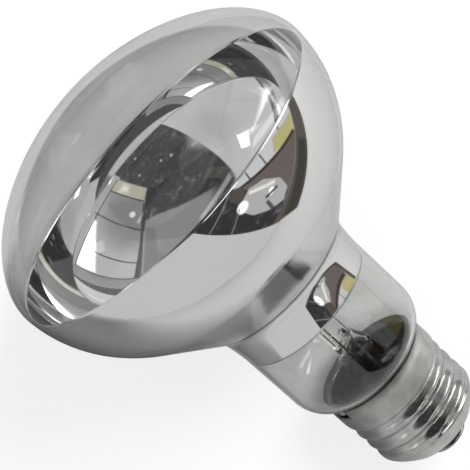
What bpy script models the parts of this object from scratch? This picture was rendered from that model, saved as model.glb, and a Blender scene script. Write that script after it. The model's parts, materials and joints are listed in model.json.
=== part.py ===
"""Clear reflector lamp with a screw cap, lying on its rim and the end of its cap.

Every piece is built round the lamp's own axis, local Z. The dome looks to +Z and the cap to -Z. The plane of
the largest diameter is at zero, and depth counts from it towards the cap. One empty lays the lamp down.
"""

import math

import bmesh
import bpy
from mathutils import Vector

# Glass envelope: all lengths in metres
RIM_RADIUS = 0.0400
DOME_HEIGHT = 0.0228
DOME_POWER = 1.85
REFLECTOR_DEPTH = 0.0343
FLANK_ANGLE = math.radians(45)
FLANK_FILLET = 0.0056
NECK_RADIUS = 0.0170
NECK_LENGTH = 0.0195
SHOULDER_RADIUS = 0.0080
SEAL_FILLET = 0.0020
SEAL_LENGTH = 0.0031
GLASS_WALL = 0.0008

# Aluminium layer on the inside of the glass
MIRROR_LAYER = 0.0002
MIRROR_ON_NECK = 0.0055

# Screw cap, with a right-hand rolled thread
SKIRT_RADIUS = 0.0134
SKIRT_BELOW_GLASS = 0.0009
THREAD_RADIUS = 0.01315
THREAD_DEPTH = 0.00105
THREAD_PITCH = 0.00362
THREAD_TURNS = 3.35
TAPER_LENGTH = 0.0047
TAPER_POWER = 1.3
TAPER_STEPS = 3
CAP_END_RADIUS = 0.0096
CAP_SHEET = 0.00035
NOTCH_WIDTH = 0.0030
NOTCH_DEPTH = 0.0015
NOTCH_TURN = math.radians(-65)

# Insulator, contact and solder at the end of the cap
INSULATOR_DEPTH = 0.0022
NOSE_LENGTH = 0.0030
NOSE_LEDGE = 0.0002
CONTACT_RADIUS = 0.0048
CONTACT_THICKNESS = 0.0008
CONTACT_ROUND = 0.0003
CONTACT_DISH = 0.0002
CENTRE_SOLDER_RADIUS = 0.0024
CENTRE_SOLDER_HEIGHT = 0.0013

# Cement between the glass and the cap
CEMENT_LENGTH = 0.0026

# Stem, pinched flat where the wires pass through it
STEM_LENGTH = 0.0214
STEM_RADIUS = 0.0045
STEM_WALL = 0.0008
FLARE_LENGTH = 0.0060
PRESS_LENGTH = 0.0090
PRESS_WIDTH = 0.0096
PRESS_THICKNESS = 0.0034
PRESS_EASE = 0.0030
PRESS_TURN = math.radians(-34)
PRESS_ROUND = 0.0005
VENT_RADIUS = 0.0008
VENT_HEIGHT = 0.0032

# Exhaust tube
EXHAUST_RADIUS = 0.0016
EXHAUST_BORE = 0.0009
EXHAUST_LENGTH = 0.0210
EXHAUST_TIP = 0.0016

# Filament and what carries it
FILAMENT_DEPTH = 0.0170
FILAMENT_RING = 0.0070
FILAMENT_TURNS = 12
FILAMENT_OPENING = math.radians(11)
COIL_RADIUS = 0.00055
FILAMENT_WIRE = 0.00011
ARBOR_RADIUS = 0.0012
BUTTON_RADIUS = 0.0019
BUTTON_HEIGHT = 0.0030
BUTTON_BEHIND = 0.0070
SUPPORT_WIRE = 0.00012
SUPPORT_TURNS = [math.radians(45), math.radians(90), math.radians(135)]
HOOK_TAIL = 0.0007

# Leads
LEAD_SPREAD = 0.0026
LEAD_SLACK = 0.00025
INNER_LEAD_WIRE = 0.00025
OUTER_LEAD_WIRE = 0.0002
CABLE_REACH = 0.0032
SLEEVE_RADIUS = 0.0011
SLEEVE_LENGTH = 0.0070

# Seats, cuts and fineness
SEAT_GAP = 0.0003
CUT_OVERRUN = 0.0010
MERGE_DISTANCE = 0.000001
RING_STEPS = 36
ROD_STEPS = 20
COIL_STEPS = 6
PITCH_ROWS = 5


def arc(start, end, steps):
    """Angles from start to end in equal steps, without the start itself."""
    return [start + (end - start) * (i + 1) / steps for i in range(steps)]


def smooth(share):
    """0 below 0, 1 above 1, and an even ease between."""
    share = min(max(share, 0.0), 1.0)
    return share * share * (3 - 2 * share)


def depth_at(outline, radius):
    """How far down its run an outline narrows to a radius."""
    for (wide, start), (narrow, end) in zip(outline, outline[1:]):
        if wide >= radius > narrow:
            return start + (end - start) * (wide - radius) / (wide - narrow)
    return outline[-1][1]


def radius_at(outline, depth):
    """How wide an outline is at a depth."""
    for (near, start), (far, end) in zip(outline, outline[1:]):
        if start <= depth < end:
            return near + (far - near) * (depth - start) / (end - start)
    return outline[-1][0]


# The seal tube leaves room for the side lead between the glass and the cap
cap_bore = SKIRT_RADIUS - CAP_SHEET
seal_radius = cap_bore - 2 * (SEAT_GAP + OUTER_LEAD_WIRE) - LEAD_SLACK
lead_circle = seal_radius + SEAT_GAP + OUTER_LEAD_WIRE
solder_seat = lead_circle + OUTER_LEAD_WIRE + SEAT_GAP

# Depths that follow from the sizes above
flank_turn = math.atan(REFLECTOR_DEPTH * math.tan(FLANK_ANGLE) / RIM_RADIUS)
flank_start = REFLECTOR_DEPTH * math.sin(flank_turn)
flank_end_radius = NECK_RADIUS + FLANK_FILLET * (1 - math.cos(FLANK_ANGLE))
flank_drop = RIM_RADIUS * math.cos(flank_turn) - flank_end_radius
neck_start = flank_start + flank_drop / math.tan(FLANK_ANGLE) + FLANK_FILLET * math.sin(FLANK_ANGLE)
neck_end = neck_start + NECK_LENGTH
shoulder_turn = math.acos(1 - (NECK_RADIUS - seal_radius) / (SHOULDER_RADIUS + SEAL_FILLET))
shoulder_end = neck_end + (SHOULDER_RADIUS + SEAL_FILLET) * math.sin(shoulder_turn)
envelope_end = shoulder_end + SEAL_LENGTH

press_top = envelope_end - STEM_LENGTH
press_end = press_top + PRESS_LENGTH
flare_start = envelope_end - FLARE_LENGTH
flare_radius = seal_radius - GLASS_WALL - SEAT_GAP
exhaust_start = press_end + SEAT_GAP
exhaust_end = exhaust_start + EXHAUST_LENGTH
button_depth = FILAMENT_DEPTH + BUTTON_BEHIND


def reflector_outline():
    """The body behind the rim: an ellipse, then a straight flank and a fillet into the neck."""
    outline = [(RIM_RADIUS, 0.0)]
    for turn in arc(0, flank_turn, 5):
        outline.append((RIM_RADIUS * math.cos(turn), REFLECTOR_DEPTH * math.sin(turn)))
    outline.append((flank_end_radius, neck_start - FLANK_FILLET * math.sin(FLANK_ANGLE)))
    for turn in arc(FLANK_ANGLE, 0, 3):
        radius = NECK_RADIUS + FLANK_FILLET * (1 - math.cos(turn))
        outline.append((radius, neck_start - FLANK_FILLET * math.sin(turn)))
    return outline


def dome_outline():
    """The dome from its middle to just before the rim, a little more pointed than an ellipse."""
    outline = []
    for turn in [0.0] + arc(0, math.pi / 2, 7)[:-1]:
        radius = RIM_RADIUS * math.sin(turn) ** (2 / DOME_POWER)
        outline.append((radius, -DOME_HEIGHT * math.cos(turn) ** (2 / DOME_POWER)))
    return outline


def shoulder_outline():
    """From the end of the neck, round the shoulder, to the end of the seal tube."""
    outline = [(NECK_RADIUS, neck_end)]
    for turn in arc(0, shoulder_turn, 4):
        radius = NECK_RADIUS - SHOULDER_RADIUS * (1 - math.cos(turn))
        outline.append((radius, neck_end + SHOULDER_RADIUS * math.sin(turn)))
    for turn in arc(shoulder_turn, 0, 3):
        radius = seal_radius + SEAL_FILLET * (1 - math.cos(turn))
        outline.append((radius, shoulder_end - SEAL_FILLET * math.sin(turn)))
    outline.append((seal_radius, envelope_end))
    return outline


# The rim of the cap sits where the shoulder of the glass passes through it
cap_rim = depth_at(shoulder_outline(), cap_bore - SEAT_GAP)
thread_start = envelope_end + SKIRT_BELOW_GLASS
thread_end = thread_start + THREAD_TURNS * THREAD_PITCH
cap_end = thread_end + TAPER_LENGTH
nose_end = cap_end + NOSE_LENGTH
contact_start = nose_end + SEAT_GAP
contact_end = contact_start + CONTACT_THICKNESS
solder_start = contact_end - CONTACT_DISH + SEAT_GAP
insulator_face = cap_end - INSULATOR_DEPTH


def taper_outline():
    """The end of the cap's shell, from the last of the thread to its open end."""
    outline = []
    for step in range(TAPER_STEPS + 1):
        share = step / TAPER_STEPS
        radius = CAP_END_RADIUS + (THREAD_RADIUS - CAP_END_RADIUS) * (1 - share**TAPER_POWER)
        outline.append((radius, thread_end + TAPER_LENGTH * share))
    return outline


def drop_outline():
    """The drop of solder on the contact plate, from its foot to its top."""
    outline = [(CENTRE_SOLDER_RADIUS, solder_start)]
    for turn in arc(0, math.pi / 2, 4)[:-1]:
        height = CENTRE_SOLDER_HEIGHT * math.sin(turn)
        outline.append((CENTRE_SOLDER_RADIUS * math.cos(turn), solder_start + height))
    return outline + [(0.0, solder_start + CENTRE_SOLDER_HEIGHT)]


def inset(outline, distance):
    """The outline moved inwards by a distance, square to its own run."""
    moved = []
    for i, (radius, depth) in enumerate(outline):
        before = Vector(outline[max(i - 1, 0)])
        after = Vector(outline[min(i + 1, len(outline) - 1)])
        run = (after - before).normalized()
        moved.append((radius - distance * run.y, depth + distance * run.x))
    return moved


def make_collection(name):
    collection = bpy.data.collections.new(name)
    bpy.context.scene.collection.children.link(collection)
    return collection


def make_material(name, colour, roughness, metallic=0.0, transmission=0.0):
    material = bpy.data.materials.new(name)
    material.use_nodes = True
    shader = material.node_tree.nodes["Principled BSDF"]
    shader.inputs["Base Color"].default_value = (*colour, 1.0)
    shader.inputs["Roughness"].default_value = roughness
    shader.inputs["Metallic"].default_value = metallic
    shader.inputs["Transmission Weight"].default_value = transmission
    material.diffuse_color = (*colour, 1.0)
    return material


def place(name, data, material, turn=0.0):
    """Put a mesh or curve on the lamp's axis, turned about it."""
    piece = bpy.data.objects.new(name, data)
    piece.parent = lamp_axis
    piece.rotation_euler.z = turn
    if material:
        data.materials.append(material)
    parts.objects.link(piece)
    return piece


def outline_mesh(name, outline, closed):
    mesh = bpy.data.meshes.new(name)
    edges = [(i, i + 1) for i in range(len(outline) - 1)]
    if closed:
        edges.append((len(outline) - 1, 0))
    mesh.from_pydata([(radius, 0.0, -depth) for radius, depth in outline], edges, [])
    return mesh


def turned(name, outline, material, steps=RING_STEPS, closed=False, wall=0.0):
    """A turned piece: the outline, run down its outer side, is swept round the axis."""
    piece = place(name, outline_mesh(name, outline, closed), material, math.pi / steps)
    sweep = piece.modifiers.new("sweep", "SCREW")
    sweep.steps = steps
    sweep.render_steps = steps
    sweep.use_merge_vertices = True
    sweep.merge_threshold = MERGE_DISTANCE
    sweep.use_smooth_shade = True
    if wall:
        add_wall(piece, wall)
    return piece


def add_wall(piece, wall):
    shell = piece.modifiers.new("wall", "SOLIDIFY")
    shell.thickness = wall
    shell.offset = -1.0
    shell.use_even_offset = True


def spun_mesh(name, outline, steps, closed=False):
    """The same sweep as a mesh, for pieces that are shaped further."""
    mesh = bpy.data.meshes.new(name)
    work = bmesh.new()
    verts = [work.verts.new((radius, 0.0, -depth)) for radius, depth in outline]
    edges = [work.edges.new(pair) for pair in zip(verts, verts[1:])]
    if closed:
        edges.append(work.edges.new((verts[-1], verts[0])))
    bmesh.ops.spin(
        work, geom=verts + edges, cent=(0, 0, 0), axis=(0, 0, 1), angle=2 * math.pi, steps=steps
    )
    bmesh.ops.remove_doubles(work, verts=work.verts, dist=MERGE_DISTANCE)
    bmesh.ops.recalc_face_normals(work, faces=work.faces)
    for face in work.faces:
        face.smooth = True
    work.to_mesh(mesh)
    work.free()
    return mesh


def make_cutter(name, mesh, turn=0.0):
    cutter = bpy.data.objects.new(name, mesh)
    cutter.parent = lamp_axis
    cutter.rotation_euler.z = turn
    cutter.hide_render = True
    cutter.display_type = "WIRE"
    cutters.objects.link(cutter)
    return cutter


def rod_mesh(name, radius, start, end):
    """A cylinder between two points."""
    mesh = bpy.data.meshes.new(name)
    work = bmesh.new()
    start = Vector(start)
    run = Vector(end) - start
    bmesh.ops.create_cone(
        work, cap_ends=True, segments=ROD_STEPS, radius1=radius, radius2=radius, depth=run.length
    )
    bmesh.ops.rotate(work, verts=work.verts, matrix=run.to_track_quat("Z", "Y").to_matrix())
    bmesh.ops.translate(work, verts=work.verts, vec=start + run / 2)
    work.to_mesh(mesh)
    work.free()
    return mesh


def block_mesh(name, low, high):
    """A box between two corners."""
    mesh = bpy.data.meshes.new(name)
    work = bmesh.new()
    low = Vector(low)
    size = Vector(high) - low
    bmesh.ops.create_cube(work, size=1.0)
    bmesh.ops.scale(work, verts=work.verts, vec=size)
    bmesh.ops.translate(work, verts=work.verts, vec=low + size / 2)
    work.to_mesh(mesh)
    work.free()
    return mesh


def cut(piece, cutter):
    hole = piece.modifiers.new(cutter.name, "BOOLEAN")
    hole.operation = "DIFFERENCE"
    hole.solver = "EXACT"
    hole.object = cutter


def smooth_path(points, pieces=4):
    """A smooth curve through the points, which it passes without corners."""
    ends = [points[0] * 2 - points[1]] + points + [points[-1] * 2 - points[-2]]
    path = [points[0]]
    for i in range(1, len(ends) - 2):
        before, start, end, after = ends[i - 1 : i + 3]
        for step in range(1, pieces + 1):
            t = step / pieces
            straight = start * 2 + (end - before) * t
            bend = (before * 2 - start * 5 + end * 4 - after) * t**2
            twist = (start * 3 - before - end * 3 + after) * t**3
            path.append((straight + bend + twist) / 2)
    return path


def wire(name, path, radius, material, turn=0.0):
    curve = bpy.data.curves.new(name, "CURVE")
    curve.dimensions = "3D"
    curve.bevel_depth = radius
    curve.bevel_resolution = 2
    curve.use_fill_caps = True
    curve.render_resolution_u = 0
    spline = curve.splines.new("POLY")
    spline.points.add(len(path) - 1)
    for point, spot in zip(spline.points, path):
        point.co = (*spot, 1.0)
    return place(name, curve, material, turn)


def on_ring(radius, turn, depth):
    return Vector((radius * math.cos(turn), radius * math.sin(turn), -depth))


def hook(ring_turn, held_radius, wire_radius):
    """The open end of a wire, bent round what it holds on the filament's ring."""
    bend = held_radius + SEAT_GAP + wire_radius
    path = []
    for turn in [math.pi] + arc(math.pi, 0, 6):
        radius = FILAMENT_RING + bend * math.cos(turn)
        path.append(on_ring(radius, ring_turn, FILAMENT_DEPTH - bend * math.sin(turn)))
    path.append(on_ring(FILAMENT_RING + bend, ring_turn, FILAMENT_DEPTH + HOOK_TAIL))
    return path


def resting_pose(bulb, cap):
    """Tilt, height and middle of the lamp when the rim and the cap both touch the ground."""
    flat_share = math.cos(math.pi / RING_STEPS)

    def reach(outline, tilt):
        sine, cosine = math.sin(tilt), math.cos(tilt)
        return max(depth * sine + radius * flat_share * cosine for radius, depth in outline)

    low, high = 0.0, math.pi / 4
    for _ in range(50):
        tilt = (low + high) / 2
        if reach(bulb, tilt) > reach(cap, tilt):
            low = tilt
        else:
            high = tilt
    lean = math.sin(tilt) * flat_share
    front = min(depth * math.cos(tilt) - radius * lean for radius, depth in bulb)
    back = max(depth * math.cos(tilt) + radius * lean for radius, depth in cap)
    return tilt, reach(bulb, tilt), (front + back) / 2


def make_envelope():
    clear_glass = make_material("clear_glass", (0.86, 0.88, 0.88), 0.02, transmission=1.0)
    outline = dome_outline() + reflector_outline() + shoulder_outline()
    turned("glass_bulb", outline, clear_glass, wall=GLASS_WALL)


def make_mirror():
    silvering = make_material("silvering", (0.80, 0.80, 0.80), 0.04, metallic=1.0)
    outline = reflector_outline() + [(NECK_RADIUS, neck_start + MIRROR_ON_NECK)]
    layer = inset(outline, GLASS_WALL + SEAT_GAP)
    turned("reflector_mirror", layer, silvering, wall=MIRROR_LAYER)


def thread_groove(depth, turn):
    """How deep the rolled thread lies below the crest at one point of the shell."""
    along = (depth - thread_start) / THREAD_PITCH
    wave = (1 - math.cos(2 * math.pi * along + turn)) / 2
    return THREAD_DEPTH * wave * smooth(2 * along) * smooth(2 * (THREAD_TURNS - along))


def make_cap_shell():
    plated_metal = make_material("plated_metal", (0.62, 0.61, 0.58), 0.32, metallic=1.0)
    rows = math.ceil(THREAD_TURNS * PITCH_ROWS)
    outline = [(SKIRT_RADIUS, cap_rim)]
    for row in range(rows):
        depth = thread_start + THREAD_TURNS * THREAD_PITCH * row / rows
        step = (SKIRT_RADIUS - THREAD_RADIUS) * smooth(2 * (depth - thread_start) / THREAD_PITCH)
        outline.append((SKIRT_RADIUS - step, depth))
    mesh = spun_mesh("cap_shell", outline + taper_outline(), RING_STEPS)
    for vert in mesh.vertices:
        depth = -vert.co.z
        if thread_start < depth < thread_end:
            groove = thread_groove(depth, math.atan2(vert.co.y, vert.co.x))
            vert.co.xy *= 1 - groove / vert.co.xy.length
    shell = place("cap_shell", mesh, plated_metal, math.pi / RING_STEPS)
    add_wall(shell, CAP_SHEET)
    low = (SKIRT_RADIUS - THREAD_DEPTH, -NOTCH_WIDTH / 2, -cap_rim - NOTCH_DEPTH)
    high = (SKIRT_RADIUS + CUT_OVERRUN, NOTCH_WIDTH / 2, -cap_rim + CUT_OVERRUN)
    cut(shell, make_cutter("notch_cutter", block_mesh("notch_cutter", low, high), NOTCH_TURN))


def make_cap_end():
    dark_glass = make_material("dark_glass", (0.03, 0.025, 0.03), 0.15)
    contact_brass = make_material("contact_brass", (0.58, 0.50, 0.36), 0.35, metallic=1.0)
    solder = make_material("solder", (0.55, 0.55, 0.56), 0.3, metallic=1.0)
    hole = OUTER_LEAD_WIRE + SEAT_GAP
    inside_shell = inset(taper_outline(), CAP_SHEET + SEAT_GAP)
    body = [(radius_at(inside_shell, insulator_face), insulator_face)]
    body += [point for point in inside_shell if insulator_face < point[1] < inside_shell[-1][1]]
    lip = CAP_END_RADIUS - CAP_SHEET - SEAT_GAP
    nose = [(lip, cap_end), (CONTACT_RADIUS + NOSE_LEDGE, nose_end)]
    bore = [(hole, nose_end), (hole, insulator_face)]
    turned("cap_insulator", body + nose + bore, dark_glass, closed=True)
    plate = [
        (hole, contact_start),
        (CONTACT_RADIUS, contact_start),
        (CONTACT_RADIUS, contact_end - CONTACT_ROUND),
        (CONTACT_RADIUS - CONTACT_ROUND, contact_end),
        (CENTRE_SOLDER_RADIUS + SEAT_GAP, contact_end),
        (CENTRE_SOLDER_RADIUS, contact_end - CONTACT_DISH),
        (hole, contact_end - CONTACT_DISH),
    ]
    turned("contact_plate", plate, contact_brass, steps=ROD_STEPS, closed=True)
    turned("centre_solder", [(0.0, solder_start)] + drop_outline(), solder, steps=ROD_STEPS)
    side = bpy.data.meshes.new("side_solder")
    work = bmesh.new()
    bmesh.ops.create_uvsphere(work, u_segments=10, v_segments=6, radius=1.0)
    width = NOTCH_WIDTH - 2 * SEAT_GAP
    height = NOTCH_DEPTH - SEAT_GAP
    thickness = SKIRT_RADIUS - solder_seat
    bmesh.ops.scale(work, verts=work.verts, vec=(thickness / 2, width / 2, height / 2))
    seat = (solder_seat + thickness / 2, 0, -cap_rim - height / 2)
    bmesh.ops.translate(work, verts=work.verts, vec=seat)
    work.to_mesh(side)
    work.free()
    place("side_solder", side, solder, NOTCH_TURN)


def make_cement():
    cement = make_material("cement", (0.20, 0.18, 0.15), 0.85)
    inner = seal_radius + SEAT_GAP
    outer = cap_bore - SEAT_GAP
    low = envelope_end - CEMENT_LENGTH
    outline = [(inner, low), (outer, low), (outer, envelope_end), (inner, envelope_end)]
    ring = turned("cap_cement", outline, cement, closed=True)
    half = OUTER_LEAD_WIRE + SEAT_GAP
    low_corner = (inner - CUT_OVERRUN, -half, -envelope_end - CUT_OVERRUN)
    high_corner = (outer + CUT_OVERRUN, half, -low + CUT_OVERRUN)
    slot = block_mesh("lead_slot_cutter", low_corner, high_corner)
    cut(ring, make_cutter("lead_slot_cutter", slot, NOTCH_TURN))


def make_stem():
    stem_glass = make_material("stem_glass", (0.85, 0.88, 0.86), 0.03, transmission=1.0)
    press_rows = [press_top + PRESS_ROUND, (press_top + press_end) / 2, press_end]
    ease_rows = [press_end + PRESS_EASE * step / 3 for step in (1, 2, 3)]
    outline = [(0.0, press_top), (STEM_RADIUS - PRESS_ROUND, press_top)]
    outline += [(STEM_RADIUS, depth) for depth in press_rows + ease_rows]
    flare = [(STEM_RADIUS, flare_start)]
    for share in arc(0, 1, 4):
        radius = STEM_RADIUS + (flare_radius - STEM_RADIUS) * share**2
        flare.append((radius, flare_start + FLARE_LENGTH * share))
    inside = [(radius - STEM_WALL, depth) for radius, depth in reversed(flare)]
    inside += [(STEM_RADIUS - STEM_WALL, depth) for depth in reversed(ease_rows)]
    inside += [(STEM_RADIUS - STEM_WALL, press_end), (0.0, press_end)]
    mesh = spun_mesh("stem", outline + flare + inside, ROD_STEPS)
    for vert in mesh.vertices:
        pinch = smooth((press_end + PRESS_EASE + vert.co.z) / PRESS_EASE)
        vert.co.x *= 1 + (PRESS_WIDTH / (2 * STEM_RADIUS) - 1) * pinch
        vert.co.y *= 1 + (PRESS_THICKNESS / (2 * STEM_RADIUS) - 1) * pinch
    stem = place("stem", mesh, stem_glass, PRESS_TURN)
    bore = INNER_LEAD_WIRE + SEAT_GAP
    for name, side in (("lead_bore_a", 1), ("lead_bore_b", -1)):
        top = (side * LEAD_SPREAD, 0, CUT_OVERRUN - press_top)
        bottom = (side * LEAD_SPREAD, 0, -press_end - CUT_OVERRUN)
        cut(stem, make_cutter(name, rod_mesh(name, bore, top, bottom), PRESS_TURN))
    vent_depth = press_end - VENT_HEIGHT
    down = rod_mesh("vent_down", VENT_RADIUS, (0, 0, -vent_depth), (0, 0, -press_end - CUT_OVERRUN))
    cut(stem, make_cutter("vent_down", down, PRESS_TURN))
    out = (0, PRESS_THICKNESS / 2 + CUT_OVERRUN, -vent_depth - VENT_RADIUS)
    side = rod_mesh("vent_side", VENT_RADIUS, (0, 0, out[2]), out)
    cut(stem, make_cutter("vent_side", side, PRESS_TURN))


def make_exhaust_tube():
    tube_glass = make_material("tube_glass", (0.85, 0.88, 0.86), 0.03, transmission=1.0)
    outline = [(EXHAUST_BORE, exhaust_start), (EXHAUST_RADIUS, exhaust_start)]
    outline.append((EXHAUST_RADIUS, exhaust_end - EXHAUST_TIP))
    for turn in arc(0, math.pi / 2, 4)[:-1]:
        radius = EXHAUST_RADIUS * math.cos(turn)
        outline.append((radius, exhaust_end - EXHAUST_TIP * (1 - math.sin(turn))))
    outline.append((0.0, exhaust_end))
    outline.append((0.0, exhaust_end - EXHAUST_TIP))
    outline.append((EXHAUST_BORE, exhaust_end - EXHAUST_TIP - EXHAUST_BORE))
    place("exhaust_tube", spun_mesh("exhaust_tube", outline, ROD_STEPS, closed=True), tube_glass)


def make_arbor():
    arbor_glass = make_material("arbor_glass", (0.85, 0.88, 0.86), 0.03, transmission=1.0)
    outline = [(0.0, button_depth - BUTTON_HEIGHT / 2)]
    for turn in arc(0, math.pi, 8)[:-1]:
        radius = BUTTON_RADIUS * math.sin(turn)
        depth = button_depth - BUTTON_HEIGHT / 2 * math.cos(turn)
        if turn < math.pi / 2 or radius > ARBOR_RADIUS:
            outline.append((radius, depth))
    outline.append((ARBOR_RADIUS, button_depth + BUTTON_HEIGHT / 2))
    outline.append((ARBOR_RADIUS, press_top - SEAT_GAP))
    outline.append((0.0, press_top - SEAT_GAP))
    turned("arbor", outline, arbor_glass, steps=ROD_STEPS)


def make_filament():
    tungsten = make_material("tungsten", (0.22, 0.22, 0.23), 0.4, metallic=1.0)
    first, last = FILAMENT_OPENING, math.pi - FILAMENT_OPENING
    steps = FILAMENT_TURNS * COIL_STEPS
    coil = []
    for step in range(steps + 1):
        ring_turn = first + (last - first) * step / steps
        turn = 2 * math.pi * FILAMENT_TURNS * step / steps
        radius = FILAMENT_RING + COIL_RADIUS * math.cos(turn)
        coil.append(on_ring(radius, ring_turn, FILAMENT_DEPTH + COIL_RADIUS * math.sin(turn)))
    leg_end = Vector((FILAMENT_RING, -HOOK_TAIL, -FILAMENT_DEPTH))
    leg_start = Vector((FILAMENT_RING, HOOK_TAIL, -FILAMENT_DEPTH))
    mirrored = Vector((-1, 1, 1))
    path = [leg_end, leg_start] + coil + [leg_start * mirrored, leg_end * mirrored]
    wire("filament", path, FILAMENT_WIRE, tungsten, PRESS_TURN)


def make_supports():
    molybdenum = make_material("molybdenum", (0.35, 0.35, 0.36), 0.35, metallic=1.0)
    held = COIL_RADIUS + FILAMENT_WIRE
    for number, ring_turn in enumerate(SUPPORT_TURNS, 1):
        path = hook(ring_turn, held, SUPPORT_WIRE)
        knee = on_ring(FILAMENT_RING / 2, ring_turn, button_depth - BUTTON_BEHIND / 4)
        start = on_ring(BUTTON_RADIUS + SEAT_GAP, ring_turn, button_depth)
        below = path[0] - Vector((0, 0, HOOK_TAIL))
        reach = smooth_path([start, knee, below, path[0]], pieces=2)
        wire(f"support_wire_{number}", reach + path[1:], SUPPORT_WIRE, molybdenum, PRESS_TURN)


def make_inner_leads():
    nickel = make_material("nickel_wire", (0.50, 0.50, 0.50), 0.3, metallic=1.0)
    middle = (press_top + press_end) / 2
    for name, ring_turn in (("inner_lead_a", 0.0), ("inner_lead_b", math.pi)):
        path = hook(ring_turn, FILAMENT_WIRE, INNER_LEAD_WIRE)
        below = path[0] - Vector((0, 0, 4 * HOOK_TAIL))
        stand = on_ring(LEAD_SPREAD, ring_turn, press_top - PRESS_LENGTH / 4)
        start = on_ring(LEAD_SPREAD, ring_turn, middle - SEAT_GAP / 2)
        top = on_ring(LEAD_SPREAD, ring_turn, press_top)
        reach = smooth_path([start, top, stand, below, path[0]])
        wire(name, reach + path[1:], INNER_LEAD_WIRE, nickel, PRESS_TURN)


def make_outer_leads():
    copper = make_material("copper_wire", (0.62, 0.36, 0.24), 0.35, metallic=1.0)
    sleeve_glass = make_material("sleeve_glass", (0.80, 0.84, 0.82), 0.05, transmission=1.0)
    start = (press_top + press_end) / 2 + SEAT_GAP / 2
    sleeve_start = envelope_end + SLEEVE_RADIUS
    sleeve_end = sleeve_start + SLEEVE_LENGTH
    centre = [
        on_ring(LEAD_SPREAD, math.pi, start),
        on_ring(LEAD_SPREAD, math.pi, press_end),
        on_ring(LEAD_SPREAD, math.pi, flare_start),
        on_ring(CABLE_REACH, math.pi, sleeve_start - SLEEVE_RADIUS / 2),
        on_ring(CABLE_REACH, math.pi, sleeve_end),
        on_ring(CABLE_REACH / 2, math.pi, (sleeve_end + insulator_face) / 2),
        on_ring(0, 0, insulator_face - SLEEVE_RADIUS / 2),
        on_ring(0, 0, nose_end),
        on_ring(0, 0, contact_end),
    ]
    wire("outer_lead_centre", smooth_path(centre), OUTER_LEAD_WIRE, copper, PRESS_TURN)
    notch = NOTCH_TURN - PRESS_TURN
    under = envelope_end + OUTER_LEAD_WIRE + SEAT_GAP
    side = [
        on_ring(LEAD_SPREAD, 0, start),
        on_ring(LEAD_SPREAD, 0, press_end),
        on_ring(LEAD_SPREAD, 0, flare_start),
        on_ring(CABLE_REACH, notch / 4, envelope_end),
        on_ring(flare_radius / 2, notch / 2, under + OUTER_LEAD_WIRE),
        on_ring(flare_radius, notch, under + OUTER_LEAD_WIRE),
        on_ring(lead_circle, notch, envelope_end - OUTER_LEAD_WIRE),
        on_ring(lead_circle, notch, cap_rim + NOTCH_DEPTH),
    ]
    wire("outer_lead_side", smooth_path(side), OUTER_LEAD_WIRE, copper, PRESS_TURN)
    bore = OUTER_LEAD_WIRE + SEAT_GAP
    tube = [
        (bore, sleeve_start),
        (SLEEVE_RADIUS, sleeve_start),
        (SLEEVE_RADIUS, sleeve_end),
        (bore, sleeve_end),
    ]
    sleeve = turned("fuse_sleeve", tube, sleeve_glass, steps=ROD_STEPS, closed=True)
    sleeve.location = on_ring(CABLE_REACH, math.pi + PRESS_TURN, 0)


for old in list(bpy.data.objects):
    bpy.data.objects.remove(old, do_unlink=True)

parts = make_collection("reflector_lamp")
cutters = make_collection("cutters")
bulb_outline = dome_outline() + reflector_outline() + shoulder_outline()
nose_outline = [(CONTACT_RADIUS + NOSE_LEDGE, nose_end), (CONTACT_RADIUS, contact_start)]
cap_outline = taper_outline() + nose_outline + drop_outline()
resting_tilt, axis_height, middle = resting_pose(bulb_outline, cap_outline)

lamp_axis = bpy.data.objects.new("lamp_axis", None)
lamp_axis.rotation_euler.y = resting_tilt - math.pi / 2
lamp_axis.location = (-middle, 0, axis_height)
parts.objects.link(lamp_axis)

make_envelope()
make_mirror()
make_cap_shell()
make_cap_end()
make_cement()
make_stem()
make_exhaust_tube()
make_arbor()
make_filament()
make_supports()
make_inner_leads()
make_outer_leads()
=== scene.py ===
# %% [markdown]
# # Dressing a clear reflector lamp
# The solids of this lamp already have their true sizes and places. This lesson gives them their looks:
# blown glass, a mirror laid on its inside, a rolled and plated screw cap, and the small parts that show
# through the glass. Everything here keeps to the frame of the solids, so nothing is moved to fit.

# %% Load the solids
import json
import math

import bmesh
import bpy
from mathutils import Matrix, Vector


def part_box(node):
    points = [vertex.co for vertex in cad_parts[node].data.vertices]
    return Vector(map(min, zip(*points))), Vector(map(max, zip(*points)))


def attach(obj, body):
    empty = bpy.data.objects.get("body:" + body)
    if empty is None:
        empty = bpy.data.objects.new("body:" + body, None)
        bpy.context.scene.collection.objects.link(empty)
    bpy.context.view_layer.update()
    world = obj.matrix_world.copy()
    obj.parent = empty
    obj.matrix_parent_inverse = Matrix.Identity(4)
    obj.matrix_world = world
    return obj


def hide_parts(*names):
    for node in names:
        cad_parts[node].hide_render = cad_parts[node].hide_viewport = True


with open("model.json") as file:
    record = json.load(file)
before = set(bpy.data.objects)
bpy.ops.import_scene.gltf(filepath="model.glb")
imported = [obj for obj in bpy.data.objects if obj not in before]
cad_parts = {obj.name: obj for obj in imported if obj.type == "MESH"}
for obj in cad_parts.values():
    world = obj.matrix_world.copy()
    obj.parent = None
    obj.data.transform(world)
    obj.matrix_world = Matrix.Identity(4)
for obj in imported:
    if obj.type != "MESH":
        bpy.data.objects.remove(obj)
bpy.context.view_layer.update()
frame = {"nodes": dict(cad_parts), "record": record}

# %% [markdown]
# ## The sizes of the lamp
# A lamp like this is turned in one piece, so a few radii, lengths and one angle describe its whole outline.
# They are the same values as in the solids. Depth counts along the lamp's own axis, from the plane of its
# largest diameter towards the cap.

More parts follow.
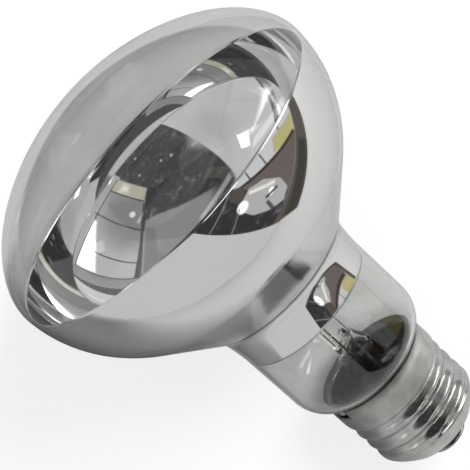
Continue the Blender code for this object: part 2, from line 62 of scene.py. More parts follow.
# %% Sizes in metres
RIM_RADIUS = 0.0400
DOME_HEIGHT = 0.0228
DOME_POWER = 1.85
REFLECTOR_DEPTH = 0.0343
FLANK_ANGLE = math.radians(45)
FLANK_FILLET = 0.0056
NECK_RADIUS = 0.0170
NECK_LENGTH = 0.0195
SHOULDER_RADIUS = 0.0080
SEAL_FILLET = 0.0020
SEAL_RADIUS = 0.0118
SEAL_LENGTH = 0.0031
GLASS_WALL = 0.0008
MIRROR_ON_NECK = 0.0055
CEMENT_LENGTH = 0.0026
SEAT_GAP = 0.0003

flank_turn = math.atan(REFLECTOR_DEPTH * math.tan(FLANK_ANGLE) / RIM_RADIUS)
flank_start = REFLECTOR_DEPTH * math.sin(flank_turn)
flank_end_radius = NECK_RADIUS + FLANK_FILLET * (1 - math.cos(FLANK_ANGLE))
flank_drop = RIM_RADIUS * math.cos(flank_turn) - flank_end_radius
neck_start = flank_start + flank_drop / math.tan(FLANK_ANGLE) + FLANK_FILLET * math.sin(FLANK_ANGLE)
neck_end = neck_start + NECK_LENGTH
shoulder_turn = math.acos(1 - (NECK_RADIUS - SEAL_RADIUS) / (SHOULDER_RADIUS + SEAL_FILLET))
shoulder_end = neck_end + (SHOULDER_RADIUS + SEAL_FILLET) * math.sin(shoulder_turn)
envelope_end = shoulder_end + SEAL_LENGTH
print("glass ends at", round(envelope_end * 1000, 2), "mm behind the rim")

# %% [markdown]
# ## Where the lamp lies
# The lamp lies on its rim and the end of its cap, so its axis slopes. The record's mount on the contact
# plate gives the direction of the axis, and the ring of cement gives a point on it, because the middle of a
# plain ring's box is on its axis. From these two comes one matrix that carries every piece from the lamp's
# own axes, with the dome at +Z, to its place.

# %% The lamp's own axes
towards_cap = Vector(frame["record"]["mounts"][0]["axis"]).normalized()
ring_low, ring_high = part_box("cap_cement")
cement_middle = envelope_end - CEMENT_LENGTH / 2
rim_centre = (ring_low + ring_high) / 2 - towards_cap * cement_middle
sideways = Vector((0, 1, 0))
upwards = sideways.cross(-towards_cap)
LAMP = Matrix.Translation(rim_centre) @ Matrix((upwards, sideways, -towards_cap)).transposed().to_4x4()
print("rim centre in mm:", [round(v * 1000, 2) for v in rim_centre])

# %% [markdown]
# ## The camera
# The photograph was taken from almost straight above. Its outline fits a camera 327 mm from the lamp's axis
# and 104 mm in front of its rim. The picture is turned so that the axis runs down to the right. A Track To
# constraint could aim the camera, but it leaves that turn open, so the camera's three axes are written out.
# They follow from the lamp's own axes, which keeps the view right if the lamp is laid differently.

# %% Place the camera
CAMERA_DISTANCE = 0.3265
CAMERA_AHEAD = 0.1043
AIM_DEPTH = 0.0219
AIM_ASIDE = 0.0009
AXIS_IN_PICTURE = math.radians(42.4)
FOCAL_PIXELS = 1695
PICTURE_PIXELS = 470

eye = LAMP @ Vector((CAMERA_DISTANCE, 0, CAMERA_AHEAD))
aim = LAMP @ Vector((0, AIM_ASIDE, -AIM_DEPTH))
looking = (aim - eye).normalized()
axis_across = (towards_cap - looking * towards_cap.dot(looking)).normalized()
side_across = axis_across.cross(looking)
cosine, sine = math.cos(AXIS_IN_PICTURE), math.sin(AXIS_IN_PICTURE)
right = axis_across * cosine + side_across * sine
above = side_across * cosine - axis_across * sine
camera_data = bpy.data.cameras.new("picture_camera")
camera_data.angle = 2 * math.atan(PICTURE_PIXELS / 2 / FOCAL_PIXELS)
camera = bpy.data.objects.new("picture_camera", camera_data)
camera.matrix_world = Matrix.Translation(eye) @ Matrix((right, above, -looking)).transposed().to_4x4()
bpy.context.scene.collection.objects.link(camera)
bpy.context.scene.camera = camera
bpy.context.scene.view_settings.view_transform = "Standard"
print("camera in mm:", [round(v * 1000, 1) for v in eye])

# %% [markdown]
# ## Helpers for node trees
# Node trees read best when each node takes one line. These helpers add a node, set its plain values and
# link the sockets that are handed to it. Each returns the socket that carries its result, so the calls can
# be nested like a sum.


# %% Node helpers
def plug(tree, value, socket):
    """Link a socket, or set a plain value."""
    if isinstance(value, bpy.types.NodeSocket):
        tree.links.new(value, socket)
    else:
        socket.default_value = value


def calculate(tree, operation, *values):
    """A sum on one or two values, which is all that these Math nodes take."""
    step = tree.nodes.new("ShaderNodeMath")
    step.operation = operation
    for value, socket in zip(values, step.inputs):
        plug(tree, value, socket)
    return step.outputs[0]


def dot(tree, direction, normal):
    """How far a vector reaches along another one."""
    step = tree.nodes.new("ShaderNodeVectorMath")
    step.operation = "DOT_PRODUCT"
    plug(tree, direction, step.inputs[0])
    plug(tree, normal, step.inputs[1])
    return step.outputs["Value"]


def ease(tree, value, low, high, start=0.0, end=1.0):
    """Run softly from start to end while the value runs from low to high."""
    step = tree.nodes.new("ShaderNodeMapRange")
    step.interpolation_type = "SMOOTHSTEP"
    for number, amount in enumerate((value, low, high, start, end)):
        plug(tree, amount, step.inputs[number])
    return step.outputs[0]


def blend_colour(tree, share, under, over):
    """Cover one colour by a share of another."""
    step = tree.nodes.new("ShaderNodeMix")
    step.data_type = "RGBA"
    plug(tree, share, step.inputs["Factor"])
    plug(tree, under, step.inputs[6])
    plug(tree, over, step.inputs[7])
    return step.outputs[2]


def noise(tree, scale, detail, roughness, coordinates):
    """Cloudy noise from 0 to 1. The scale counts the clouds in one unit of the coordinates."""
    step = tree.nodes.new("ShaderNodeTexNoise")
    step.inputs["Scale"].default_value = scale
    step.inputs["Detail"].default_value = detail
    step.inputs["Roughness"].default_value = roughness
    plug(tree, coordinates, step.inputs["Vector"])
    return step.outputs["Fac"]


# %% [markdown]
# ## The room that the mirror shows
# A mirror has no colour of its own: it looks like what is round it. Here that is a sheet of pale paper,
# which rises on one side like a studio sweep, tall bright windows on the other side, and a dim room
# overhead. Lamps alone would leave the mirror black, and a picture of some real room would show things that
# aren't there, so the room is painted on the world by direction. A direction is given by its bearing from
# +X and its height above the horizon, in degrees. Cycles is told not to treat the world as a lamp. Its
# bright panels are small and would only add noise, and dull surfaces get their light from elsewhere.

# %% Start the world
world = bpy.data.worlds.new("studio")
bpy.context.scene.world = world
world.use_nodes = True
world.cycles.sampling_method = "NONE"
sky = world.node_tree
sky.nodes.clear()
direction = sky.nodes.new("ShaderNodeTexCoord").outputs["Generated"]


def heading(bearing, height):
    """The direction with this bearing and height."""
    bearing, height = math.radians(bearing), math.radians(height)
    flat = math.cos(height)
    return Vector((flat * math.cos(bearing), flat * math.sin(bearing), math.sin(height)))


print("bearing 90 at height 30 points to", [round(v, 2) for v in heading(90, 30)])

# %% [markdown]
# ## Panels, bars and spots
# A panel is a convex polygon. Seen from the lamp, each of its edges lies in a plane through the lamp, so a
# direction is inside when it lies on the right side of all those planes. The edges stay straight and the
# mirror bends them, as it does with a real window. A bar is a narrow panel and a spot is a round one. What
# is painted later covers what was painted before.


# %% Panel helpers
SPOT_CORE_SHARE = 0.6


def panel(under, corners, colour, soft=0.4):
    """Paint a convex polygon over what is there. Soft is the width of its inner edge in degrees."""
    points = [heading(*corner) for corner in corners]
    middle = sum(points, Vector()).normalized()
    inside = None
    for start, end in zip(points, points[1:] + points[:1]):
        normal = start.cross(end).normalized()
        if normal.dot(middle) < 0:
            normal.negate()
        depth = dot(sky, direction, normal)
        inside = depth if inside is None else calculate(sky, "MINIMUM", inside, depth)
    share = ease(sky, inside, 0.0, math.radians(soft))
    over = colour if isinstance(colour, bpy.types.NodeSocket) else (*colour, 1.0)
    return blend_colour(sky, share, under, over)


def bar(under, start, end, width, colour):
    """A straight bar between two directions, with its width in degrees."""
    first, last = heading(*start), heading(*end)
    across = first.cross(last).normalized() * math.tan(math.radians(width / 2))
    corners = []
    for point, side in ((first, 1), (last, 1), (last, -1), (first, -1)):
        corner = (point + across * side).normalized()
        corners.append((math.degrees(math.atan2(corner.y, corner.x)), math.degrees(math.asin(corner.z))))
    return panel(under, corners, colour, soft=width / 3)


def spot(under, centre, radius, colour):
    """A soft round patch, with its radius in degrees."""
    edge = math.cos(math.radians(radius))
    core = math.cos(math.radians(radius * SPOT_CORE_SHARE))
    share = ease(sky, dot(sky, direction, heading(*centre)), edge, core)
    return blend_colour(sky, share, under, (*colour, 1.0))


# %% [markdown]
# ## The dim room and its wall
# The colours are linear values. Pale paper is about 0.57 and the dim room near 0.04, with some cloudy
# clutter in it. On the -X side stands a grey wall with a curtain next to the window.

# %% Paint the dim room
DIM = (0.040, 0.039, 0.041)
CLUTTER = (0.28, 0.28, 0.29)
CLUTTER_GRAIN = 9
WALL = (0.30, 0.30, 0.30)
CURTAIN = (0.22, 0.22, 0.22)

clutter = ease(sky, noise(sky, CLUTTER_GRAIN, 6.0, 0.75, direction), 0.52, 0.80)
room = blend_colour(sky, clutter, (*DIM, 1.0), (*CLUTTER, 1.0))
room = panel(room, [(136, 3), (136, 50), (150, 52), (-160, 34), (-150, -30), (136, -30)], WALL, soft=2)
room = panel(room, [(136, 3), (136, 46), (147, 44), (150, 3)], CURTAIN, soft=3)
print("nodes for the dim room:", len(sky.nodes))

# %% [markdown]
# ## The window
# The window is one tall pane, darker towards its upper corner, with a narrower pane beside it and a warm
# blind at its top. Low on one side it glares, many times as bright as paper, and the wide soft edge of the
# glare gives the bright patch in the mirror its glow. Dark bars divide the panes.

# %% Paint the window
SIDE_PANE = (0.42, 0.42, 0.425)
PANE = (0.52, 0.525, 0.53)
SHADED_PANE = (0.25, 0.25, 0.252)
SHADE_MIDDLE = (128, 58)
BLIND = (0.49, 0.48, 0.38)
LIT_BLIND = (0.90, 0.90, 0.86)
GLARE = (9.0, 9.0, 9.0)
FRAME_BAR = (0.075, 0.072, 0.070)
PALE_BAR = (0.36, 0.36, 0.36)
PANE_SPOT = (0.85, 0.85, 0.85)
CEILING_SPOT = (0.35, 0.35, 0.35)
CROSS_BARS = (((74, 59), (134, 63)), ((83, 43), (134, 43)), ((104, 22), (135, 19)), ((67, 68), (139, 72)))

room = panel(room, [(44, 60), (67, 70), (98, 5), (84, -4), (60, 0)], SIDE_PANE, soft=1)
shade = ease(sky, dot(sky, direction, heading(*SHADE_MIDDLE)), 0.80, 0.985)
pane = blend_colour(sky, shade, (*PANE, 1.0), (*SHADED_PANE, 1.0))
room = panel(room, [(98, 6), (134, 7), (138, 72), (67, 68)], pane, soft=0.8)
room = panel(room, [(75, 59), (134, 63), (138, 72), (67, 68)], BLIND, soft=0.8)
room = panel(room, [(84, 60), (108, 66), (98, 73), (74, 70)], LIT_BLIND, soft=5)
room = panel(room, [(74, 59), (134, 63), (134, 44), (83, 43)], pane, soft=0.8)
room = panel(room, [(97, 5), (113, 7), (106, 24), (92, 41), (85, 41)], GLARE, soft=9)
for start, end in CROSS_BARS:
    room = bar(room, start, end, 1.4, FRAME_BAR)
room = bar(room, (66, 67), (98, 5), 1.0, FRAME_BAR)
room = bar(room, (136, 6), (134, 62), 2.2, FRAME_BAR)
room = bar(room, (138, 8), (137, 42), 1.2, PALE_BAR)
room = spot(room, (122, 54), 2.5, PANE_SPOT)
room = panel(room, [(84, 2), (98, 6), (135, 7), (152, 2), (150, -24), (84, -24)], WALL, soft=1)
for bearing, height, radius in ((-139, 81, 1.2), (101, 80, 1.2), (22, 79, 1.2), (-128, 74, 1.5)):
    room = spot(room, (bearing, height), radius, CEILING_SPOT)
print("nodes with the window:", len(sky.nodes))

# %% [markdown]
# ## Beyond the cap
# In this direction stand a second window and a brown wall in shade with a yellow blind beside it. The rim's
# near side and the fillet of the neck reflect them. Two more bright panels stand where the mirror can't see
# them and the cap can: they give the thread its long streaks.

# %% Paint the second window
SECOND_PANE = (0.60, 0.61, 0.62)
CAP_LIGHT = (3.0, 3.0, 3.0)
BROWN_WALL = (0.150, 0.128, 0.118)
YELLOW_BLIND = (0.50, 0.46, 0.22)
BROWN_FRAME = (0.060, 0.042, 0.034)

room = panel(room, [(27, 46), (40, 52), (80, 24), (84, -4), (50, -4), (26, 37)], SECOND_PANE, soft=0.6)
for start, end in (((64, 13), (53, 8)), ((53, 31), (43, 22)), ((42, 40), (34, 32))):
    room = bar(room, start, end, 1.4, FRAME_BAR)
room = panel(room, [(-8, 52), (-12, 62), (50, 67), (70, 60), (46, 53)], CAP_LIGHT, soft=4)
room = panel(room, [(62, 43), (82, 40), (84, 4), (70, 0)], CAP_LIGHT, soft=4)
room = panel(room, [(27, 41), (57, -2), (57, -6), (30, -6)], BROWN_WALL, soft=0.6)
room = panel(room, [(48, 17), (57, 18), (66, -2), (56, -2)], YELLOW_BLIND, soft=0.8)
room = bar(room, (27, 40), (57, -2), 2.6, BROWN_FRAME)
print("nodes with the second window:", len(sky.nodes))

# %% [markdown]
# ## A screen and the edge of the floor
# Beside the brown wall stands a pale screen with two bright lamps and a few dark edges on it. Under all
# this the floor of the room is dark brown up to a pale line.

# %% Paint the screen
SCREEN_OUTLINE = [(29, 32), (35, 23), (36, 9), (32, 0), (26, -1), (20, 8), (15, 19), (14, 30), (19, 33)]
SCREEN_BACK = (0.095, 0.080, 0.072)
SCREEN = (0.46, 0.46, 0.46)
SCREEN_BAND = (0.85, 0.83, 0.80)
SCREEN_LAMP = (1.3, 1.3, 1.3)
SCREEN_EDGE = (0.09, 0.09, 0.095)
PIPE = (0.22, 0.22, 0.225)
FAR_LAMP = (0.6, 0.6, 0.6)
FLOOR_BEYOND = (0.115, 0.100, 0.092)
FLOOR_SHADE = (0.060, 0.056, 0.048)
FLOOR_LINE = (0.22, 0.21, 0.20)

room = panel(room, [(18, 46), (26, 46), (31, 37), (24, 31), (17, 35)], SCREEN_BACK, soft=1)
room = panel(room, SCREEN_OUTLINE, SCREEN)
room = bar(room, (26, 31), (34, 12), 3.0, SCREEN_BAND)
room = spot(room, (17, 30), 4.5, SCREEN_LAMP)
room = spot(room, (29, 13), 2.6, SCREEN_LAMP)
room = bar(room, (32, 9), (25, 16), 2.4, DIM)
room = bar(room, (24, 14), (21, 5), 3.0, SCREEN_EDGE)
for start, end in (((22, 45), (-8, 38)), ((16, 32), (0, 24))):
    room = bar(room, start, end, 1.2, PIPE)
room = spot(room, (10, 51), 2.0, FAR_LAMP)
room = panel(room, [(10, -1), (84, -2), (84, -30), (10, -30)], FLOOR_BEYOND, soft=0.6)
room = panel(room, [(10, -5), (54, -3), (50, -30), (10, -30)], FLOOR_SHADE, soft=3)
room = bar(room, (60, -3), (24, -2), 1.2, FLOOR_LINE)
print("nodes with the screen:", len(sky.nodes))

# %% [markdown]
# ## The paper sweep
# The paper rises on the -Y side up to 64 degrees. Seen from the lamp its long edge is one straight line, so
# a single plane through the lamp divides paper from room. A faint shade lies on it, a dark gap opens under
# it, and one bright pane shows in it.

# %% Paint the sweep
PAPER = (0.57, 0.57, 0.57)
SWEEP_BEARING = -76
SWEEP_HEIGHT = 64
SWEEP_BLUR = 0.006
SWEEP_SHADE = (0.50, 0.50, 0.50)
SWEEP_PANE = (2.0, 2.0, 2.0)

sweep_edge = dot(sky, direction, heading(SWEEP_BEARING, SWEEP_HEIGHT - 90))
room = blend_colour(sky, ease(sky, sweep_edge, 0.0, SWEEP_BLUR), room, (*PAPER, 1.0))
room = panel(room, [(-142, 28), (-132, 64), (-100, 64), (-84, 40), (-112, 22)], SWEEP_SHADE, soft=12)
room = panel(room, [(150, -4), (-132, 3), (-128, -60), (140, -60)], DIM, soft=2)
room = panel(room, [(-138, 24), (-137, 17), (-128, 19), (-128, 28)], SWEEP_PANE)
print("nodes with the sweep:", len(sky.nodes))

# %% [markdown]
# ## Who sees what
# The camera sees plain white behind the lamp, and the mirror and the glass see the room. Light that reaches
# dull surfaces comes from an even soft grey, like a studio tent. The Light Path node tells these rays
# apart, so each gets what suits it and no lamp has to be made brighter for a white background.

# %% Light paths of the world
SOFT_LIGHT = 0.48
paths = sky.nodes.new("ShaderNodeLightPath")
in_mirror = calculate(sky, "MAXIMUM", paths.outputs["Is Glossy Ray"], paths.outputs["Is Transmission Ray"])
seen = blend_colour(sky, in_mirror, (SOFT_LIGHT, SOFT_LIGHT, SOFT_LIGHT, 1.0), room)
seen = blend_colour(sky, paths.outputs["Is Camera Ray"], seen, (1.0, 1.0, 1.0, 1.0))
background = sky.nodes.new("ShaderNodeBackground")
plug(sky, seen, background.inputs["Color"])
world_output = sky.nodes.new("ShaderNodeOutputWorld")
plug(sky, background.outputs[0], world_output.inputs["Surface"])
print("nodes in the world:", len(sky.nodes))

# %% [markdown]
# ## Soft lamps
# Two large round lamps stand where the window and the sweep are, and cast the soft shadow on the paper.
# They are hidden from the mirror and the glass, which already see the painted window.


# %% Hang the soft lamps
def soft_lamp(name, bearing, height, distance, size, power):
    """A round lamp that shines on the rim's centre and has no picture in the mirror."""
    data = bpy.data.lights.new(name, "AREA")
    data.shape = "DISK"
    data.size = size
    data.energy = power
    lamp = bpy.data.objects.new(name, data)
    towards = heading(bearing, height)
    lamp.location = rim_centre + towards * distance
    lamp.rotation_euler = towards.to_track_quat("Z", "Y").to_euler()
    lamp.visible_glossy = False
    lamp.visible_transmission = False
    bpy.context.scene.collection.objects.link(lamp)
    print(name, "gives", power, "watts")


soft_lamp("window_lamp", bearing=95, height=50, distance=1.0, size=0.6, power=9.0)
soft_lamp("sweep_lamp", bearing=-60, height=65, distance=1.0, size=0.9, power=1.5)

# %% [markdown]
# ## The sheet of paper
# The lamp lies on a sheet of paper with one corner near the cap. A plane with six corners gives it that
# notched outline.

# %% Lay the paper
PAPER_CORNER = (0.190, 0.100)
PAPER_REACH = 0.4
LONG_EDGE = Vector((0.97, 0.24)).normalized()
SHORT_EDGE = Vector((-0.29, 0.96)).normalized()

corner = Vector(PAPER_CORNER)
outline = [
    corner,
    corner + SHORT_EDGE * PAPER_REACH,
    corner + (SHORT_EDGE - LONG_EDGE) * PAPER_REACH,
    corner - (SHORT_EDGE + LONG_EDGE) * PAPER_REACH,
    corner + (LONG_EDGE - SHORT_EDGE) * PAPER_REACH,
    corner + LONG_EDGE * PAPER_REACH,
]
paper_mesh = bpy.data.meshes.new("paper")
paper_mesh.from_pydata([(p.x, p.y, 0.0) for p in outline], [], [tuple(range(len(outline)))])
paper = bpy.data.objects.new("paper", paper_mesh)
bpy.context.scene.collection.objects.link(paper)
print("paper corners in mm:", [(round(p.x * 1000), round(p.y * 1000)) for p in outline])

# %% [markdown]
# ## What the paper looks like
# The mirror sees the sheet as pale grey as the sweep. Past one edge of it lies a dark table, and to the -X
# and -Y side of the lamp a soft shade is painted into the colour that the mirror and the glass see. The
# painted shade starts a little way out, so that the paper right under the lamp, which shows through the
# clear glass, stays light. To the camera the sheet is white where light reaches it: a share of plain glow
# lifts it and leaves the rest to the light, so the lamp's soft shadow stays.

# %% The finish of the paper
SHEET_TONE = 0.53
SHADED_SHARE = 0.38
OUT_OF_SHADE = Vector((1.0, 0.4, 0.0))
SHADE_FULL = -0.015
SHADE_GONE = 0.105
FAR_SHADE_FULL = -0.20
FAR_SHADE_GONE = -0.36
BESIDE_LAMP = Vector((0.35, -1.0, 0.0))
BESIDE_START = 0.026
BESIDE_FULL = 0.040
TABLE = (0.05, 0.05, 0.05, 1.0)
TABLE_EDGE = -0.085
EDGE_BLUR = 0.002
CAMERA_SHARE = 0.75
CAMERA_WHITE = (0.95, 0.95, 0.95, 1.0)

paper_finish = bpy.data.materials.new("paper")
paper_finish.use_nodes = True
tree = paper_finish.node_tree
tree.nodes.clear()
dull = tree.nodes.new("ShaderNodeBsdfDiffuse")
light_path = tree.nodes.new("ShaderNodeLightPath")
place = tree.nodes.new("ShaderNodeTexCoord").outputs["Object"]
along_ground = dot(tree, place, Vector((1, 0, 0)))
across_ground = dot(tree, place, Vector((0, 1, 0)))
not_far = ease(tree, across_ground, FAR_SHADE_GONE, FAR_SHADE_FULL)
beside = ease(tree, dot(tree, place, BESIDE_LAMP), BESIDE_START, BESIDE_FULL)
# Painted shade: the sheet's colour for the mirror and the glass is darker beside the lamp.
shade = ease(tree, dot(tree, place, OUT_OF_SHADE), SHADE_FULL, SHADE_GONE, 1.0, 0.0)
shade = calculate(tree, "MULTIPLY", shade, calculate(tree, "MULTIPLY", not_far, beside))
lit_sheet = (SHEET_TONE, SHEET_TONE, SHEET_TONE, 1.0)
shaded_sheet = (*[tone * SHADED_SHARE for tone in lit_sheet[:3]], 1.0)
sheet = blend_colour(tree, shade, lit_sheet, shaded_sheet)
on_sheet = ease(tree, along_ground, TABLE_EDGE - EDGE_BLUR, TABLE_EDGE + EDGE_BLUR)
tone = blend_colour(tree, on_sheet, TABLE, sheet)
tone = blend_colour(tree, light_path.outputs["Is Camera Ray"], tone, CAMERA_WHITE)
plug(tree, tone, dull.inputs["Color"])
glow = tree.nodes.new("ShaderNodeEmission")
to_camera = calculate(tree, "MULTIPLY", light_path.outputs["Is Camera Ray"], CAMERA_SHARE)
either = tree.nodes.new("ShaderNodeMixShader")
plug(tree, to_camera, either.inputs["Fac"])
plug(tree, dull.outputs[0], either.inputs[1])
plug(tree, glow.outputs[0], either.inputs[2])
plug(tree, either.outputs[0], tree.nodes.new("ShaderNodeOutputMaterial").inputs["Surface"])
paper_mesh.materials.append(paper_finish)
print("nodes in the paper:", len(tree.nodes))

# %% [markdown]
# ## Turned pieces
# The envelope, the mirror and most small parts are round. A cylinder pushed into shape would need many
# loops, so each is a thin outline of points instead, swept round the axis by a Screw modifier. The outline
# runs down the outer side, so the faces look outwards. A wall's inner face is the outline moved inwards,
# square to its own run.

# %% Sweep helpers
TURN_STEPS = 160
MERGE_DISTANCE = 0.000001


def arc(start, end, steps):
    """Even steps from start to end, without the start itself."""
    return [start + (end - start) * (i + 1) / steps for i in range(steps)]


def turned(name, outline, steps=TURN_STEPS, closed=False):
    """Sweep an outline of radius and depth round the axis."""
    mesh = bpy.data.meshes.new(name)
    edges = [(i, i + 1) for i in range(len(outline) - 1)]
    if closed:
        edges.append((len(outline) - 1, 0))
    mesh.from_pydata([(radius, 0.0, -depth) for radius, depth in outline], edges, [])
    piece = bpy.data.objects.new(name, mesh)
    sweep = piece.modifiers.new("sweep", "SCREW")
    sweep.steps = steps
    sweep.render_steps = steps
    sweep.use_merge_vertices = True
    sweep.merge_threshold = MERGE_DISTANCE
    sweep.use_smooth_shade = True
    return piece


def inset(outline, distance):
    """The outline moved inwards, square to its own run."""
    moved = []
    for i, (radius, depth) in enumerate(outline):
        before = Vector(outline[max(i - 1, 0)])
        after = Vector(outline[min(i + 1, len(outline) - 1)])
        run = (after - before).normalized()
        moved.append((max(radius - distance * run.y, 0.0), depth + distance * run.x))
    return moved


# %% [markdown]
# ## From a sweep to a finished piece
# The modifiers are baked before a piece goes to its place, and its place is baked in too, which keeps its
# box tight. The solids have 36 flat sides and lie on one of them, so the smooth pieces are made narrower by
# the same small share. Each piece rides on the lamp's one body and stands for the solids that it covers.

# %% Dress a solid
SIDES_OF_SOLIDS = 36

flat_share = math.cos(math.pi / SIDES_OF_SOLIDS)
NARROWER = Matrix.Diagonal((flat_share, flat_share, 1, 1))


def dress(source, finishes, slot, *nodes, turn=0.0):
    """Bake the source, set it in its place and let it stand for its solids."""
    bpy.context.scene.collection.objects.link(source)
    bpy.context.view_layer.update()
    baked = bpy.data.meshes.new_from_object(source.evaluated_get(bpy.context.evaluated_depsgraph_get()))
    baked.transform(LAMP @ NARROWER @ Matrix.Rotation(turn, 4, "Z"))
    baked.materials.clear()
    for finish in finishes:
        baked.materials.append(finish)
    name = source.name
    bpy.data.objects.remove(source)
    piece = bpy.data.objects.new(name, baked)
    bpy.context.scene.collection.objects.link(piece)
    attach(piece, "root")
    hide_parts(*nodes)
    print(name, "faces:", len(baked.polygons))


print("smooth pieces are narrower by a share of", round(1 - flat_share, 4))

# %% [markdown]
# ## The dome
# The front of the glass is a shallow dome, a little more pointed than half an ellipse. A superellipse gives
# that with one more number, its power, where a sculpted dome would need a new shape for each new size.


# %% Outline of the dome
def dome_outline(steps=48):
    outline = []
    for turn in [0.0] + arc(0, math.pi / 2, steps)[:-1]:
        radius = RIM_RADIUS * math.sin(turn) ** (2 / DOME_POWER)
        outline.append((radius, -DOME_HEIGHT * math.cos(turn) ** (2 / DOME_POWER)))
    return outline


print("points on the dome:", len(dome_outline()))

# %% [markdown]
# ## The reflector
# Behind the rim comes half an ellipse, then a straight flank and a fillet into the neck. The blown neck is
# not quite straight: it goes on narrowing a little up to the end of the mirror, and the picture in that
# mirror shows it. So a wide fillet, which touches the flank, runs out into a shallow flare. Straight runs
# get a point close to each end, so that smooth shading stays true along them.

# %% Outline of the reflector
END_SHARES = (0.02, 0.25, 0.5, 0.75, 0.98)
WIDE_FILLET = 0.0065
NECK_FLARE = math.radians(9)

mirror_end = neck_start + MIRROR_ON_NECK


def fillet_middle(flank_radius):
    """The middle of the fillet that touches the flank and runs out into the flare, as radius and depth."""
    slope = math.tan(NECK_FLARE) / 2
    reach = flank_radius + (flank_start + WIDE_FILLET * math.sin(FLANK_ANGLE)) * math.tan(FLANK_ANGLE)
    reach += WIDE_FILLET * math.cos(FLANK_ANGLE)
    flare_end_depth = mirror_end + WIDE_FILLET * math.sin(NECK_FLARE)
    least_radius = NECK_RADIUS + WIDE_FILLET * math.cos(NECK_FLARE)
    depth = (reach - least_radius - flare_end_depth * slope) / (math.tan(FLANK_ANGLE) - slope)
    return reach - depth * math.tan(FLANK_ANGLE), depth


def reflector_outline(steps=40):
    outline = [(RIM_RADIUS, 0.0)]
    for turn in arc(0, flank_turn, steps):
        outline.append((RIM_RADIUS * math.cos(turn), REFLECTOR_DEPTH * math.sin(turn)))
    flank_radius = outline[-1][0]
    middle_radius, middle_depth = fillet_middle(flank_radius)
    fillet = []
    for turn in [FLANK_ANGLE] + arc(FLANK_ANGLE, NECK_FLARE, 16):
        depth = middle_depth - WIDE_FILLET * math.sin(turn)
        fillet.append((middle_radius - WIDE_FILLET * math.cos(turn), depth))
    for share in END_SHARES:
        radius = flank_radius + (fillet[0][0] - flank_radius) * share
        outline.append((radius, flank_start + (fillet[0][1] - flank_start) * share))
    outline += fillet
    flare_radius, flare_depth = fillet[-1]
    for share in arc(0, 1, 12):
        radius = NECK_RADIUS + (flare_radius - NECK_RADIUS) * (1 - share) ** 2
        outline.append((radius, flare_depth + (mirror_end - flare_depth) * share))
    return outline


print("the mirror ends", round(mirror_end * 1000, 2), "mm behind the rim")

# %% [markdown]
# ## Neck, shoulder and seal
# Past the neck the shoulder draws in to the tube that the cap covers, with a large round and a small fillet
# that meet smoothly. The tube is where the stem is melted in and the lamp is closed.


# %% Outline of the neck and the shoulder
def neck_outline():
    return [(NECK_RADIUS, mirror_end + (neck_end - mirror_end) * share) for share in END_SHARES]


def shoulder_outline(steps=16):
    outline = [(NECK_RADIUS, neck_end)]
    for turn in arc(0, shoulder_turn, steps):
        radius = NECK_RADIUS - SHOULDER_RADIUS * (1 - math.cos(turn))
        outline.append((radius, neck_end + SHOULDER_RADIUS * math.sin(turn)))
    for turn in arc(shoulder_turn, 0, 10):
        radius = SEAL_RADIUS + SEAL_FILLET * (1 - math.cos(turn))
        outline.append((radius, shoulder_end - SEAL_FILLET * math.sin(turn)))
    outline += [(SEAL_RADIUS, shoulder_end + SEAL_LENGTH * share) for share in END_SHARES + (1.0,)]
    return outline


print("points on neck and shoulder:", len(neck_outline() + shoulder_outline()))

# %% [markdown]
# ## Clear glass
# Clear glass has to be a real wall with an outer and an inner face, so that light bends in and out again.
# Cycles sends no lamp light through real glass without great noise, so for shadow rays alone the glass
# turns transparent. The blown wall is a little uneven, which a faint, wide bump gives. Near the cap the
# glass colour eases to a darker one along the lamp's axis: a painted shade, which darkens the view into the
# cap's closed inside. The stem bends light less than the envelope, which keeps its pinched end clear enough
# to see the wires in it.

# %% The glass finish
# Where the painted shade of the glass near the cap starts and where it is full, past the end of the neck.
CAVITY_SHADE_START = 0.0038
CAVITY_SHADE_FULL = 0.0075
WAVES_PER_METRE = 45


def along_lamp(tree):
    """How far a point lies behind the plane of the rim, along the lamp's axis."""
    place = tree.nodes.new("ShaderNodeTexCoord").outputs["Object"]
    return calculate(tree, "SUBTRACT", dot(tree, place, towards_cap), rim_centre.dot(towards_cap))


def glass(name, colour, waviness, bending, shade_near_cap):
    """Clear glass with faint waves. The last argument is the share of its colour that is left near the cap,
    as a painted shade.
    """
    finish = bpy.data.materials.new(name)
    finish.use_nodes = True
    tree = finish.node_tree
    shader = tree.nodes["Principled BSDF"]
    # Painted shade: the glass colour darkens towards the cap, so that the cap's closed inside looks dark
    # through it.
    near_cap = ease(tree, along_lamp(tree), neck_end + CAVITY_SHADE_START, neck_end + CAVITY_SHADE_FULL)
    darker = (*[c * shade_near_cap for c in colour], 1.0)
    plug(tree, blend_colour(tree, near_cap, (*colour, 1.0), darker), shader.inputs["Base Color"])
    shader.inputs["Roughness"].default_value = 0.0
    shader.inputs["IOR"].default_value = bending
    shader.inputs["Transmission Weight"].default_value = 1.0
    place = tree.nodes.new("ShaderNodeTexCoord").outputs["Object"]
    bump = tree.nodes.new("ShaderNodeBump")
    bump.inputs["Strength"].default_value = 1.0
    bump.inputs["Distance"].default_value = waviness
    plug(tree, noise(tree, WAVES_PER_METRE, 1.5, 0.4, place), bump.inputs["Height"])
    plug(tree, bump.outputs[0], shader.inputs["Normal"])
    clear = tree.nodes.new("ShaderNodeBsdfTransparent")
    either = tree.nodes.new("ShaderNodeMixShader")
    plug(tree, tree.nodes.new("ShaderNodeLightPath").outputs["Is Shadow Ray"], either.inputs["Fac"])
    plug(tree, shader.outputs[0], either.inputs[1])
    plug(tree, clear.outputs[0], either.inputs[2])
    plug(tree, either.outputs[0], tree.nodes["Material Output"].inputs["Surface"])
    print(name, "nodes:", len(tree.nodes))
    return finish


